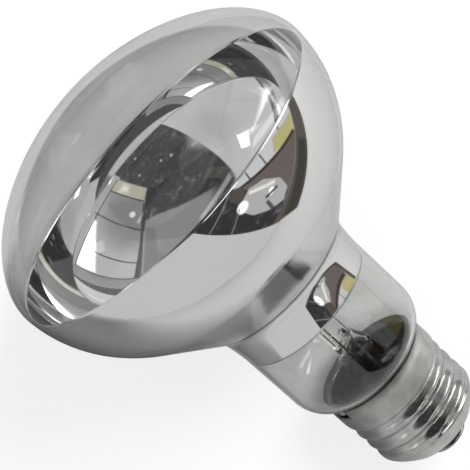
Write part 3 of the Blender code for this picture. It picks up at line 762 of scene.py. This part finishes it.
# The darker glass near the cap is a painted shade, stronger on the stem than on the envelope.
envelope_glass = glass("envelope_glass", (0.99, 0.99, 0.985), waviness=0.00004, bending=1.50, shade_near_cap=0.66)
stem_glass = glass("stem_glass", (0.93, 0.94, 0.91), waviness=0.00006, bending=1.36, shade_near_cap=0.32)

# %% [markdown]
# ## The envelope
# The glass is blown in one piece from the dome to the seal tube. So the four outlines are joined into one,
# and the same line moved inwards closes the wall.

# %% Blow the envelope
bulb_outline = dome_outline() + reflector_outline() + neck_outline() + shoulder_outline()
inner_face = inset(bulb_outline, GLASS_WALL)
envelope = turned("blown_envelope", bulb_outline + inner_face[::-1])
dress(envelope, [envelope_glass], "clear_glass", "glass_bulb")

# %% [markdown]
# ## Metal
# Every metal here is a Principled shader with full metallic value. Real metal is never even, so two clouds
# of noise vary its colour and its gloss a little, and a third one can roughen its surface.

# %% The metal finish
SMOOTHEST_SHARE = 0.8
ROUGHEST_SHARE = 1.25


def metal(name, colour, roughness, variation, grain, relief=0.0):
    """Metal with uneven gloss and, if relief is given, a fine uneven surface."""
    finish = bpy.data.materials.new(name)
    finish.use_nodes = True
    tree = finish.node_tree
    shader = tree.nodes["Principled BSDF"]
    shader.inputs["Metallic"].default_value = 1.0
    place = tree.nodes.new("ShaderNodeTexCoord").outputs["Object"]
    patches = noise(tree, grain, 4.0, 0.55, place)
    light, dark = (*colour, 1.0), (*[c * (1 - variation) for c in colour], 1.0)
    patches = ease(tree, patches, 0.35, 0.65)
    plug(tree, blend_colour(tree, patches, dark, light), shader.inputs["Base Color"])
    smoothest, roughest = roughness * SMOOTHEST_SHARE, roughness * ROUGHEST_SHARE
    gloss = ease(tree, noise(tree, grain * 2, 4.0, 0.6, place), 0.3, 0.7, smoothest, roughest)
    plug(tree, gloss, shader.inputs["Roughness"])
    if relief:
        bump = tree.nodes.new("ShaderNodeBump")
        bump.inputs["Strength"].default_value = 1.0
        bump.inputs["Distance"].default_value = relief
        plug(tree, noise(tree, grain * 3, 3.0, 0.5, place), bump.inputs["Height"])
        plug(tree, bump.outputs[0], shader.inputs["Normal"])
    print(name, "nodes:", len(tree.nodes))
    return finish


# %% [markdown]
# ## The mirror finish
# Aluminium is boiled off inside the lamp and settles on the glass as a film far thinner than a hair. On the
# straight flank the picture in it is soft, so some roughness is added there, between the end of the ellipse
# and the start of the fillet.

# %% Silver the reflector
FLANK_BLUR = 0.10

silvering = metal("silvering", (0.93, 0.93, 0.93), 0.03, variation=0.03, grain=60)
tree = silvering.node_tree
gloss = tree.nodes["Principled BSDF"].inputs["Roughness"]
behind = along_lamp(tree)
onto_flank = ease(tree, behind, flank_start - FLANK_FILLET / 2, flank_start + FLANK_FILLET / 2)
off_flank = ease(tree, behind, neck_start - FLANK_FILLET, neck_start - FLANK_FILLET / 2)
blur = calculate(tree, "MULTIPLY", calculate(tree, "SUBTRACT", onto_flank, off_flank), FLANK_BLUR)
plug(tree, calculate(tree, "ADD", gloss.links[0].from_socket, blur), gloss)
print("nodes in the silvering:", len(tree.nodes))

# %% [markdown]
# ## The mirror
# From outside the film is seen through the glass, and from the front it is seen bare. A second material on
# the inner face of the glass would give only one of the two, so it is a very thin shell of its own. It lies
# right behind the inner face of the glass, from the rim to the front of the neck.

# %% Lay the mirror
FILM_GAP = 0.00002
FILM_THICKNESS = 0.00006

mirror_run = reflector_outline()
film_outside = inset(mirror_run, GLASS_WALL + FILM_GAP)
film_inside = inset(mirror_run, GLASS_WALL + FILM_GAP + FILM_THICKNESS)
mirror = turned("deposited_mirror", film_outside + film_inside[::-1], closed=True)
dress(mirror, [silvering], "silvering", "reflector_mirror")

# %% [markdown]
# ## Shaped sweeps
# The threaded shell and the pinched stem start as sweeps too, but their points are moved afterwards, and a
# modifier gives no points to move. So they are swept at once in bmesh, which leaves a plain mesh to work
# on.


# %% Spin helpers
def smooth(share):
    """Ease a share in and out, and hold it between 0 and 1."""
    share = min(max(share, 0.0), 1.0)
    return share * share * (3 - 2 * share)


def spun(name, outline, steps):
    """Sweep an outline of radius and depth into a mesh."""
    mesh = bpy.data.meshes.new(name)
    work = bmesh.new()
    verts = [work.verts.new((radius, 0.0, -depth)) for radius, depth in outline]
    edges = [work.edges.new(pair) for pair in zip(verts, verts[1:])]
    bmesh.ops.spin(
        work, geom=verts + edges, cent=(0, 0, 0), axis=(0, 0, 1), angle=2 * math.pi, steps=steps
    )
    bmesh.ops.remove_doubles(work, verts=work.verts, dist=MERGE_DISTANCE)
    bmesh.ops.recalc_face_normals(work, faces=work.faces)
    for face in work.faces:
        face.smooth = True
    work.to_mesh(mesh)
    work.free()
    return mesh


# %% [markdown]
# ## The screw cap
# The shell is rolled from thin sheet. A plain skirt covers the seal of the glass, the thread follows it,
# and the end tapers. The rim of the skirt sits on the shoulder of the glass, where the shoulder is as wide
# as the bore of the cap, so its place is read from the outline of the shoulder.

# %% Sizes of the cap
SKIRT_RADIUS = 0.0134
SKIRT_BELOW_GLASS = 0.0009
THREAD_RADIUS = 0.01315
THREAD_DEPTH = 0.00105
THREAD_PITCH = 0.00362
THREAD_TURNS = 3.35
TAPER_LENGTH = 0.0047
TAPER_POWER = 1.3
CAP_END_RADIUS = 0.0096
CAP_SHEET = 0.00035

cap_bore = SKIRT_RADIUS - CAP_SHEET


def depth_at(outline, radius):
    """The depth at which a narrowing outline has this radius."""
    for (wide, start), (narrow, end) in zip(outline, outline[1:]):
        if wide >= radius > narrow:
            return start + (end - start) * (wide - radius) / (wide - narrow)
    return outline[-1][1]


cap_rim = depth_at(shoulder_outline(), cap_bore - SEAT_GAP)
thread_start = envelope_end + SKIRT_BELOW_GLASS
thread_end = thread_start + THREAD_TURNS * THREAD_PITCH
cap_end = thread_end + TAPER_LENGTH
print("cap from", round(cap_rim * 1000, 2), "to", round(cap_end * 1000, 2), "mm")

# %% [markdown]
# ## Plated metal
# The shell is plated brass. The plain skirt is satin and a little tarnished. The crests of the thread are
# polished by the rollers, so they catch the light in bright streaks, and fine rings with dirt in them run
# round it. One material does both: it takes the plain metal from before and changes its gloss, its bump and
# its colour by the place along the lamp's axis. The side that the window doesn't reach is duller still, and
# a painted shade darkens its colour there.

# %% The finish of the cap
RINGS_PER_METRE = 900
RING_STRETCH = 3.0
RING_RELIEF = 0.000018
SKIRT_RING_SHARE = 0.08
# On the -Y side, away from the window, the metal is duller and a painted shade darkens its colour: where it
# starts, where it is full and how strong it is.
SHADED_SIDE_START = 0.0060
SHADED_SIDE_FULL = 0.0125
DULL_AND_SHADE_SHARE = 0.40
GROOVE_GRIME_SHARE = 0.35
TARNISH_PER_METRE = 120
TARNISH_SHARE = 0.50
TARNISH = (0.40, 0.40, 0.33, 1.0)
# The dark colour for the dirt in the rings and for the painted shade of the -Y side.
GRIME_AND_SHADE = (0.10, 0.10, 0.09, 1.0)


def cap_metal(name, colour, satin, polished):
    """Metal with one roughness on the skirt and another on the thread."""
    finish = metal(name, colour, satin, variation=0.22, grain=260, relief=0.00001)
    tree = finish.node_tree
    shader = tree.nodes["Principled BSDF"]
    rough = shader.inputs["Roughness"].links[0].from_socket
    on_thread = ease(tree, along_lamp(tree), thread_start, thread_start + THREAD_PITCH)
    ring = calculate(tree, "MULTIPLY", along_lamp(tree), RING_STRETCH)
    rings = noise(tree, RINGS_PER_METRE, 3.0, 0.7, ring)
    marks = tree.nodes.new("ShaderNodeBump")
    marks.inputs["Distance"].default_value = RING_RELIEF
    plug(tree, ease(tree, on_thread, 0.0, 1.0, SKIRT_RING_SHARE, 1.0), marks.inputs["Strength"])
    plug(tree, rings, marks.inputs["Height"])
    plug(tree, shader.inputs["Normal"].links[0].from_socket, marks.inputs["Normal"])
    plug(tree, marks.outputs[0], shader.inputs["Normal"])
    softer = calculate(tree, "MULTIPLY", rough, polished / satin)
    step = tree.nodes.new("ShaderNodeMix")
    plug(tree, on_thread, step.inputs["Factor"])
    plug(tree, rough, step.inputs[2])
    plug(tree, softer, step.inputs[3])
    place = tree.nodes.new("ShaderNodeTexCoord").outputs["Object"]
    # Painted shade: the -Y side is made duller and also darker in colour.
    aside = dot(tree, place, Vector((0, -1, 0)))
    dull_and_shaded_side = ease(tree, aside, SHADED_SIDE_START, SHADED_SIDE_FULL, 0.0, DULL_AND_SHADE_SHARE)
    plug(tree, calculate(tree, "ADD", step.outputs[0], dull_and_shaded_side), shader.inputs["Roughness"])
    in_rings = ease(tree, rings, 0.48, 0.62, 0.0, GROOVE_GRIME_SHARE)
    # The darkening mixes the dirt in the rings with the painted shade of the -Y side.
    grime_and_shade = calculate(tree, "MAXIMUM", dull_and_shaded_side, calculate(tree, "MULTIPLY", in_rings, on_thread))
    clouds = noise(tree, TARNISH_PER_METRE, 4.0, 0.6, place)
    tarnish = ease(tree, clouds, 0.49, 0.70, 0.0, TARNISH_SHARE)
    clean = shader.inputs["Base Color"].links[0].from_socket
    clean = blend_colour(tree, tarnish, clean, TARNISH)
    plug(tree, blend_colour(tree, grime_and_shade, clean, GRIME_AND_SHADE), shader.inputs["Base Color"])
    print(name, "nodes with rings and tarnish:", len(tree.nodes))
    return finish


plated_metal = cap_metal("plated_metal", (0.71, 0.708, 0.69), satin=0.54, polished=0.15)

# %% [markdown]
# ## Dull finishes
# The inside of the shell is dull and painted near-black, a painted shade for the closed inside of the cap,
# and later the cement and the dark glass of the nose need the same kind of finish: a shader without metal,
# whose one cloud of noise varies the colour and the surface together, as dirt and grain do.


# %% The finish of dull parts
def solid(name, colour, roughness, variation, grain, relief, shine):
    """A finish without metal. Shine is the strength of its highlight."""
    finish = bpy.data.materials.new(name)
    finish.use_nodes = True
    tree = finish.node_tree
    shader = tree.nodes["Principled BSDF"]
    shader.inputs["Roughness"].default_value = roughness
    shader.inputs["Specular IOR Level"].default_value = shine
    place = tree.nodes.new("ShaderNodeTexCoord").outputs["Object"]
    clouds = noise(tree, grain, 5.0, 0.6, place)
    light, dark = (*colour, 1.0), (*[c * (1 - variation) for c in colour], 1.0)
    patches = ease(tree, clouds, 0.3, 0.7)
    plug(tree, blend_colour(tree, patches, dark, light), shader.inputs["Base Color"])
    bump = tree.nodes.new("ShaderNodeBump")
    bump.inputs["Strength"].default_value = 1.0
    bump.inputs["Distance"].default_value = relief
    plug(tree, clouds, bump.inputs["Height"])
    plug(tree, bump.outputs[0], shader.inputs["Normal"])
    print(name, "nodes:", len(tree.nodes))
    return finish


# Painted shade: the inside of the shell gets a near-black colour, because the closed cap is dark inside.
shaded_inside = solid(
    "shaded_inside", (0.016, 0.015, 0.011), 0.70, variation=0.6, grain=400, relief=0.00003, shine=0.15
)

# %% [markdown]
# ## The rolled thread
# The thread is a round wave, 3.6 mm from crest to crest, that climbs by one pitch a turn. A helix swept by
# a Screw modifier would need its ends trimmed. Here the height of the wave at a point depends on its depth
# and its turn, so one formula moves every point of a plain sweep. The wave grows from the plain skirt and
# dies away before the tapered end.


# %% Outline and wave of the cap
def thread_groove(depth, turn):
    """How far the thread is pressed in at this depth and turn."""
    along = (depth - thread_start) / THREAD_PITCH
    wave = (1 - math.cos(2 * math.pi * along + turn)) / 2
    return THREAD_DEPTH * wave * smooth(2 * along) * smooth(2 * (THREAD_TURNS - along))


def taper_outline(steps=12):
    outline = []
    for share in [0.0] + arc(0, 1, steps):
        radius = CAP_END_RADIUS + (THREAD_RADIUS - CAP_END_RADIUS) * (1 - share**TAPER_POWER)
        outline.append((radius, thread_end + TAPER_LENGTH * share))
    return outline


print("groove halfway along:", round(thread_groove((thread_start + thread_end) / 2, 0.0) * 1000, 3), "mm")

# %% [markdown]
# ## The notch
# In the rim of the shell is a small notch, where the side wire comes out and is soldered. A Boolean would
# leave ragged shading on such thin sheet, so the faces in its place are just taken away before the sheet
# gets its thickness. A row of points at the notch's depth gives it a straight edge. It is a little larger
# than in the solids, as the photograph shows it.

# %% Open the notch
NOTCH_WIDTH = 0.0042
NOTCH_DEPTH = 0.0022
NOTCH_TURN = math.radians(-67)


def open_notch(mesh):
    """Take away the faces of the rim where the side wire comes out."""
    work = bmesh.new()
    work.from_mesh(mesh)
    gone = []
    for face in work.faces:
        middle = face.calc_center_median()
        aside = SKIRT_RADIUS * (math.atan2(middle.y, middle.x) - NOTCH_TURN)
        if abs(aside) < NOTCH_WIDTH / 2 and -middle.z < cap_rim + NOTCH_DEPTH:
            gone.append(face)
    print("faces taken for the notch:", len(gone))
    bmesh.ops.delete(work, geom=gone, context="FACES")
    work.to_mesh(mesh)
    work.free()


# %% [markdown]
# ## The shell
# The sweep is given its thread and its notch, and then the thickness of the sheet by a Solidify modifier,
# which puts its own material on the inner side: plated outside, and inside the near-black finish that
# paints the shade of the closed cap.


# %% Roll the shell
def shell_mesh(name, rows=84, steps=144):
    skirt = thread_start - cap_rim
    shares = (0.0, NOTCH_DEPTH / skirt) + END_SHARES[2:]
    outline = [(SKIRT_RADIUS, cap_rim + skirt * share) for share in shares]
    for row in range(rows):
        depth = thread_start + (thread_end - thread_start) * row / rows
        step = (SKIRT_RADIUS - THREAD_RADIUS) * smooth(2 * (depth - thread_start) / THREAD_PITCH)
        outline.append((SKIRT_RADIUS - step, depth))
    mesh = spun(name, outline + taper_outline(), steps)
    for vert in mesh.vertices:
        depth = -vert.co.z
        if thread_start < depth < thread_end:
            groove = thread_groove(depth, math.atan2(vert.co.y, vert.co.x))
            vert.co.xy *= 1 - groove / vert.co.xy.length
    open_notch(mesh)
    return mesh


shell = bpy.data.objects.new("rolled_cap", shell_mesh("rolled_cap"))
wall = shell.modifiers.new("sheet", "SOLIDIFY")
wall.thickness = CAP_SHEET
wall.offset = -1.0
wall.use_even_offset = True
wall.material_offset = 1
shell.data.materials.append(plated_metal)
shell.data.materials.append(shaded_inside)
dress(shell, [plated_metal, shaded_inside], "plated_metal", "cap_shell")

# %% [markdown]
# ## The nose
# Dark glass is pressed into the end of the shell and keeps the contact apart from it. It is turned like the
# envelope, from an outline that reaches a little way into the shell.

# %% Turn the nose
NOSE_LENGTH = 0.0030
NOSE_LEDGE = 0.0002
INSULATOR_DEPTH = 0.0022
CONTACT_RADIUS = 0.0048
SMALL_TURN_STEPS = 96

dark_glass = solid(
    "dark_glass", (0.035, 0.028, 0.030), 0.18, variation=0.3, grain=300, relief=0.00001, shine=0.5
)
nose_end = cap_end + NOSE_LENGTH
nose_end_radius = CONTACT_RADIUS + NOSE_LEDGE
lip = CAP_END_RADIUS - CAP_SHEET - SEAT_GAP
nose = [(0.0, cap_end - INSULATOR_DEPTH), (lip, cap_end - INSULATOR_DEPTH), (lip, cap_end)]
for share in END_SHARES:
    nose.append((lip + (nose_end_radius - lip) * share, cap_end + NOSE_LENGTH * share))
nose += [(nose_end_radius, nose_end), (0.0, nose_end)]
dress(turned("glass_nose", nose, SMALL_TURN_STEPS), [dark_glass], "dark_glass", "cap_insulator")

# %% [markdown]
# ## The centre contact
# A small brass plate closes the nose. It has a rounded edge and a shallow dish for the solder.

# %% Turn the contact
CONTACT_THICKNESS = 0.0008
CONTACT_ROUND = 0.0003
CONTACT_DISH = 0.0002
CENTRE_SOLDER_RADIUS = 0.0024

contact_metal = metal("contact_metal", (0.46, 0.44, 0.40), 0.30, variation=0.3, grain=350, relief=0.00001)
contact_start = nose_end + SEAT_GAP
contact_end = contact_start + CONTACT_THICKNESS
dish_floor = contact_end - CONTACT_DISH
plate = [(radius, contact_start) for radius in (0.0, CONTACT_RADIUS - CONTACT_ROUND, CONTACT_RADIUS)]
for turn in [0.0] + arc(0, math.pi / 2, 5):
    radius = CONTACT_RADIUS - CONTACT_ROUND * (1 - math.cos(turn))
    plate.append((radius, contact_end - CONTACT_ROUND * (1 - math.sin(turn))))
plate += [(CENTRE_SOLDER_RADIUS + SEAT_GAP, contact_end), (CENTRE_SOLDER_RADIUS, dish_floor)]
plate.append((0.0, dish_floor))
dress(turned("brass_contact", plate, SMALL_TURN_STEPS), [contact_metal], "contact_brass", "contact_plate")

# %% [markdown]
# ## The drop of solder
# The centre wire comes out through the plate and is held by a drop of solder. A quarter of an ellipse,
# turned round, is the form that a drop takes when it sets.

# %% Set the solder
CENTRE_SOLDER_HEIGHT = 0.0013
DROP_TURN_STEPS = 64

solder_metal = metal("solder_metal", (0.46, 0.46, 0.47), 0.34, variation=0.15, grain=420, relief=0.00002)
drop_start = contact_end + CONTACT_DISH / 2
drop = [(0.0, drop_start)]
for turn in [0.0] + arc(0, math.pi / 2, 10):
    drop.append((CENTRE_SOLDER_RADIUS * math.cos(turn), drop_start + CENTRE_SOLDER_HEIGHT * math.sin(turn)))
dress(turned("solder_drop", drop, DROP_TURN_STEPS), [solder_metal], "solder", "centre_solder")

# %% [markdown]
# ## The stem
# The stem is a glass tube, flared at the cap end, where it is melted to the envelope. Its other end is
# pinched flat round the wires. Its outline goes up the outside, from the pinched end to the flare, and back
# down the bore, which closes round where the pinch begins.

# %% Outline of the stem
STEM_LENGTH = 0.0214
STEM_RADIUS = 0.0045
STEM_WALL = 0.0008
FLARE_LENGTH = 0.0060
PRESS_LENGTH = 0.0090
PRESS_EASE = 0.0030
PRESS_ROUND = 0.0005

press_top = envelope_end - STEM_LENGTH
press_end = press_top + PRESS_LENGTH
flare_start = envelope_end - FLARE_LENGTH
flare_radius = SEAL_RADIUS - GLASS_WALL - SEAT_GAP
bore_radius = STEM_RADIUS - STEM_WALL

outside = [(STEM_RADIUS * share, press_top) for share in (0.0, 0.3, 0.6, 0.8)]
for turn in [0.0] + arc(0, math.pi / 2, 5):
    radius = STEM_RADIUS - PRESS_ROUND * (1 - math.sin(turn))
    outside.append((radius, press_top + PRESS_ROUND * (1 - math.cos(turn))))
for share in arc(0, 0.94, 8):
    outside.append((STEM_RADIUS, press_top + PRESS_ROUND + PRESS_LENGTH * share))
above_press = [(STEM_RADIUS, press_end + PRESS_EASE * share) for share in arc(0, 1, 12)]
for share in [0.0] + arc(0, 1, 16):
    radius = STEM_RADIUS + (flare_radius - STEM_RADIUS) * share**2
    above_press.append((radius, flare_start + FLARE_LENGTH * share))
bore = [(radius - STEM_WALL, depth) for radius, depth in above_press[::-1]]
for turn in arc(0, math.pi / 2, 5):
    bore.append((bore_radius * math.cos(turn), press_end - STEM_WALL * math.sin(turn)))
stem_outline = outside + above_press + bore
print("points on the stem:", len(stem_outline))

# %% [markdown]
# ## The pinch
# Hot jaws press the round tube flat, so it gets thinner one way and wider the other. The same happens here:
# the points of the sweep are scaled across and along the jaws, fully in the pinched end and less and less
# above it.

# %% Pinch the stem
PRESS_WIDTH = 0.0096
PRESS_THICKNESS = 0.0034

stem_mesh = spun("pinched_stem", stem_outline, SMALL_TURN_STEPS)
for vert in stem_mesh.vertices:
    pinch = smooth((press_end + PRESS_EASE + vert.co.z) / PRESS_EASE)
    vert.co.x *= 1 + (PRESS_WIDTH / (2 * STEM_RADIUS) - 1) * pinch
    vert.co.y *= 1 + (PRESS_THICKNESS / (2 * STEM_RADIUS) - 1) * pinch
stem = bpy.data.objects.new("pinched_stem", stem_mesh)
print("pinched end in mm:", round(PRESS_WIDTH * 1000, 1), "by", round(PRESS_THICKNESS * 1000, 1))

# %% [markdown]
# ## The blow hole
# A hole leads from the bore down into the pinched end and out of its side. The air is drawn out through it
# before the lamp is sealed. Two small turned cutters, one down the axis and one square to it, drill it with
# Boolean modifiers, which are baked with the stem.

# %% Drill the blow hole
VENT_RADIUS = 0.0008
VENT_HEIGHT = 0.0032
DRILL_STEPS = 24
PRESS_TURN = math.radians(-34)

vent_top = press_end - VENT_HEIGHT


def drill(name, start, end):
    """A turned cutter as wide as the hole."""
    return turned(name, [(0.0, start), (VENT_RADIUS, start), (VENT_RADIUS, end), (0.0, end)], DRILL_STEPS)


down = drill("vent_down", vent_top, press_end + STEM_WALL)
across = drill("vent_across", 0.0, PRESS_THICKNESS)
across.location = (0.0, 0.0, -(vent_top + VENT_RADIUS))
across.rotation_euler = (math.pi / 2, 0.0, 0.0)
for cutter in (down, across):
    bpy.context.scene.collection.objects.link(cutter)
    cut = stem.modifiers.new(cutter.name, "BOOLEAN")
    cut.operation = "DIFFERENCE"
    cut.solver = "EXACT"
    cut.object = cutter
dress(stem, [stem_glass], "stem_glass", "stem", turn=PRESS_TURN)
for cutter in (down, across):
    bpy.data.objects.remove(cutter)

# %% [markdown]
# ## The exhaust tube
# The lamp is pumped through a thin glass tube, which is then melted shut. It is turned, with a round tip
# and a bore that ends in a point, as a melted tube does.

# %% Turn the exhaust tube
EXHAUST_RADIUS = 0.0016
EXHAUST_BORE = 0.0009
EXHAUST_LENGTH = 0.0210
EXHAUST_TIP = 0.0016
THIN_TURN_STEPS = 48

exhaust_start = press_end + SEAT_GAP
exhaust_end = exhaust_start + EXHAUST_LENGTH
tip_start = exhaust_end - EXHAUST_TIP
tube = [(EXHAUST_BORE, exhaust_start), (EXHAUST_RADIUS, exhaust_start), (EXHAUST_RADIUS, tip_start)]
for turn in arc(0, math.pi / 2, 8)[:-1]:
    tube.append((EXHAUST_RADIUS * math.cos(turn), exhaust_end - EXHAUST_TIP * (1 - math.sin(turn))))
tube += [(0.0, exhaust_end), (0.0, tip_start), (EXHAUST_BORE, tip_start - EXHAUST_BORE)]
sealed_exhaust = turned("sealed_exhaust", tube, THIN_TURN_STEPS, closed=True)
dress(sealed_exhaust, [stem_glass], "stem_glass", "exhaust_tube")

# %% [markdown]
# ## The glass rod
# A glass rod stands on the stem and ends in a flattened button, which carries the hooks. The button is a
# turned ellipse, cut off where it is as narrow as the rod.

# %% Turn the rod
ARBOR_RADIUS = 0.0012
BUTTON_RADIUS = 0.0019
BUTTON_HEIGHT = 0.0030
BUTTON_BEHIND = 0.0070
FILAMENT_DEPTH = 0.0170

button_depth = FILAMENT_DEPTH + BUTTON_BEHIND
rod = [(0.0, button_depth - BUTTON_HEIGHT / 2)]
for turn in arc(0, math.pi, 24)[:-1]:
    radius = BUTTON_RADIUS * math.sin(turn)
    if turn < math.pi / 2 or radius > ARBOR_RADIUS:
        rod.append((radius, button_depth - BUTTON_HEIGHT / 2 * math.cos(turn)))
rod_start = button_depth + BUTTON_HEIGHT / 2
rod_end = press_top - SEAT_GAP
rod += [(ARBOR_RADIUS, rod_start + (rod_end - rod_start) * share) for share in (0.0,) + END_SHARES + (1.0,)]
rod.append((0.0, rod_end))
dress(turned("glass_rod", rod, THIN_TURN_STEPS), [stem_glass], "stem_glass", "arbor")

# %% [markdown]
# ## Wires
# A wire is a curve with a round bevel. Its path is a list of points, and where it only has to run smoothly,
# a few chosen points are joined by a smooth formula. A poly spline runs straight between its points, so the
# wire stays where it was worked out. A Bezier curve with automatic handles would bulge between them.


# %% Wire helpers
def on_ring(radius, turn, depth):
    """A point at this radius and turn about the lamp's axis."""
    return Vector((radius * math.cos(turn), radius * math.sin(turn), -depth))


def smooth_path(points, pieces=8):
    """A smooth curve through the points, which it passes without corners."""
    ends = [points[0] * 2 - points[1]] + points + [points[-1] * 2 - points[-2]]
    path = [points[0]]
    for before, start, end, after in zip(ends, ends[1:], ends[2:], ends[3:]):
        for t in arc(0, 1, pieces):
            bend = (before * 2 - start * 5 + end * 4 - after) * t**2
            twist = (start * 3 - before - end * 3 + after) * t**3
            path.append((start * 2 + (end - before) * t + bend + twist) / 2)
    return path


def wire(name, path, radius):
    """A round wire along a path of points."""
    curve = bpy.data.curves.new(name, "CURVE")
    curve.dimensions = "3D"
    curve.bevel_depth = radius
    curve.bevel_resolution = 3
    curve.use_fill_caps = True
    spline = curve.splines.new("POLY")
    spline.points.add(len(path) - 1)
    for point, place in zip(spline.points, path):
        point.co = (*place, 1.0)
    spline.use_smooth = True
    return bpy.data.objects.new(name, curve)


# %% [markdown]
# ## The filament
# The filament is a fine coil in a half ring. The point that draws it goes round the ring once and round the
# coil 64 times, so one loop works out the whole path. At both ends the wire runs straight through its
# lead's hook, and the second end is the first one mirrored.

# %% Wind the filament
FILAMENT_RING = 0.0070
FILAMENT_OPENING = math.radians(11)
COIL_RADIUS = 0.00050
COIL_WIRE = 0.00006
COIL_TURNS = 64
COIL_STEPS = 14
HOOK_TAIL = 0.0007

tungsten_finish = metal("tungsten_finish", (0.28, 0.28, 0.30), 0.35, variation=0.2, grain=700)
coil = [Vector((FILAMENT_RING, aside, -FILAMENT_DEPTH)) for aside in (-HOOK_TAIL, HOOK_TAIL)]
for share in [0.0] + arc(0, 1, COIL_TURNS * COIL_STEPS):
    ring_turn = FILAMENT_OPENING + (math.pi - 2 * FILAMENT_OPENING) * share
    turn = 2 * math.pi * COIL_TURNS * share
    radius = FILAMENT_RING + COIL_RADIUS * math.cos(turn)
    coil.append(on_ring(radius, ring_turn, FILAMENT_DEPTH + COIL_RADIUS * math.sin(turn)))
coil += [Vector((-point.x, point.y, point.z)) for point in coil[1::-1]]
dress(wire("coiled_filament", coil, COIL_WIRE), [tungsten_finish], "tungsten", "filament", turn=PRESS_TURN)

# %% [markdown]
# ## The hooks
# Three thin hooks reach from the rod's button to the filament and hold it up. Each runs out in a gentle
# bend and ends in half a turn round the coil, with the same small gap all round.

# %% Bend the hooks
SUPPORT_WIRE = 0.00012
SOLID_COIL = 0.00066

molybdenum_finish = metal("molybdenum_finish", (0.42, 0.42, 0.43), 0.30, variation=0.15, grain=500)


def hook(ring_turn, held_radius, wire_radius):
    """The open end of a wire, bent round what it holds on the filament's ring."""
    bend = held_radius + SEAT_GAP + wire_radius
    path = []
    for turn in [math.pi] + arc(math.pi, 0, 12):
        radius = FILAMENT_RING + bend * math.cos(turn)
        path.append(on_ring(radius, ring_turn, FILAMENT_DEPTH - bend * math.sin(turn)))
    path.append(on_ring(FILAMENT_RING + bend, ring_turn, FILAMENT_DEPTH + HOOK_TAIL))
    return path


for number, degrees in enumerate((45, 90, 135), 1):
    ring_turn = math.radians(degrees)
    end = hook(ring_turn, SOLID_COIL, SUPPORT_WIRE)
    knee = on_ring(FILAMENT_RING / 2, ring_turn, button_depth - BUTTON_BEHIND / 4)
    start = on_ring(BUTTON_RADIUS + SEAT_GAP, ring_turn, button_depth)
    reach = smooth_path([start, knee, end[0] - Vector((0, 0, HOOK_TAIL)), end[0]])
    support = wire(f"filament_hook_{number}", reach + end[1:], SUPPORT_WIRE)
    dress(support, [molybdenum_finish], "molybdenum", f"support_wire_{number}", turn=PRESS_TURN)

# %% [markdown]
# ## The leads
# Two stiff nickel wires come out of the pinched end, spread apart and carry the filament's ends in hooks of
# the same form. They start inside the glass, so no end of them shows.

# %% Bend the leads
INNER_LEAD_WIRE = 0.00025
LEAD_SPREAD = 0.0026

nickel_finish = metal("nickel_finish", (0.40, 0.39, 0.38), 0.25, variation=0.15, grain=500)
for letter, ring_turn in (("a", 0.0), ("b", math.pi)):
    end = hook(ring_turn, COIL_WIRE, INNER_LEAD_WIRE)
    stations = (press_top + PRESS_LENGTH / 2 - SEAT_GAP, press_top, press_top - PRESS_LENGTH / 4)
    reach = [on_ring(LEAD_SPREAD, ring_turn, depth) for depth in stations]
    reach = smooth_path(reach + [end[0] - Vector((0, 0, 4 * HOOK_TAIL)), end[0]])
    lead = wire(f"nickel_lead_{letter}", reach + end[1:], INNER_LEAD_WIRE)
    dress(lead, [nickel_finish], "nickel_wire", f"inner_lead_{letter}", turn=PRESS_TURN)

# %% [markdown]
# ## What is mostly hidden
# The copper wires, their small glass sleeve, the cement and the side solder are hardly seen. Building them
# anew would show nothing more. A copy of each solid, with its points joined, shades smoothly and is enough.
# Its edges stay sharp only where two faces meet at more than 50 degrees.

# %% Smooth copies
JOIN_DISTANCE = 0.000002
SHARP_ANGLE = math.radians(50)


def smooth_copy(name, finish, node):
    """Let a joined and smoothly shaded copy stand for its solid."""
    mesh = frame["nodes"][node].data.copy()
    work = bmesh.new()
    work.from_mesh(mesh)
    bmesh.ops.remove_doubles(work, verts=work.verts, dist=JOIN_DISTANCE)
    for face in work.faces:
        face.smooth = True
    for edge in work.edges:
        edge.smooth = len(edge.link_faces) == 2 and edge.calc_face_angle() < SHARP_ANGLE
    work.to_mesh(mesh)
    work.free()
    mesh.materials.clear()
    mesh.materials.append(finish)
    piece = bpy.data.objects.new(name, mesh)
    bpy.context.scene.collection.objects.link(piece)
    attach(piece, "root")
    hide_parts(node)
    print(name, "faces:", len(mesh.polygons))


cement_finish = solid(
    "cement_finish", (0.024, 0.021, 0.015), 0.85, variation=0.5, grain=500, relief=0.00008, shine=0.15
)
copper_finish = metal("copper_finish", (0.12, 0.09, 0.07), 0.40, variation=0.3, grain=500)
smooth_copy("copper_lead_centre", copper_finish, "outer_lead_centre")
smooth_copy("copper_lead_side", copper_finish, "outer_lead_side")
smooth_copy("glass_sleeve", stem_glass, "fuse_sleeve")
smooth_copy("baked_cement", cement_finish, "cap_cement")
smooth_copy("rim_solder", solder_metal, "side_solder")
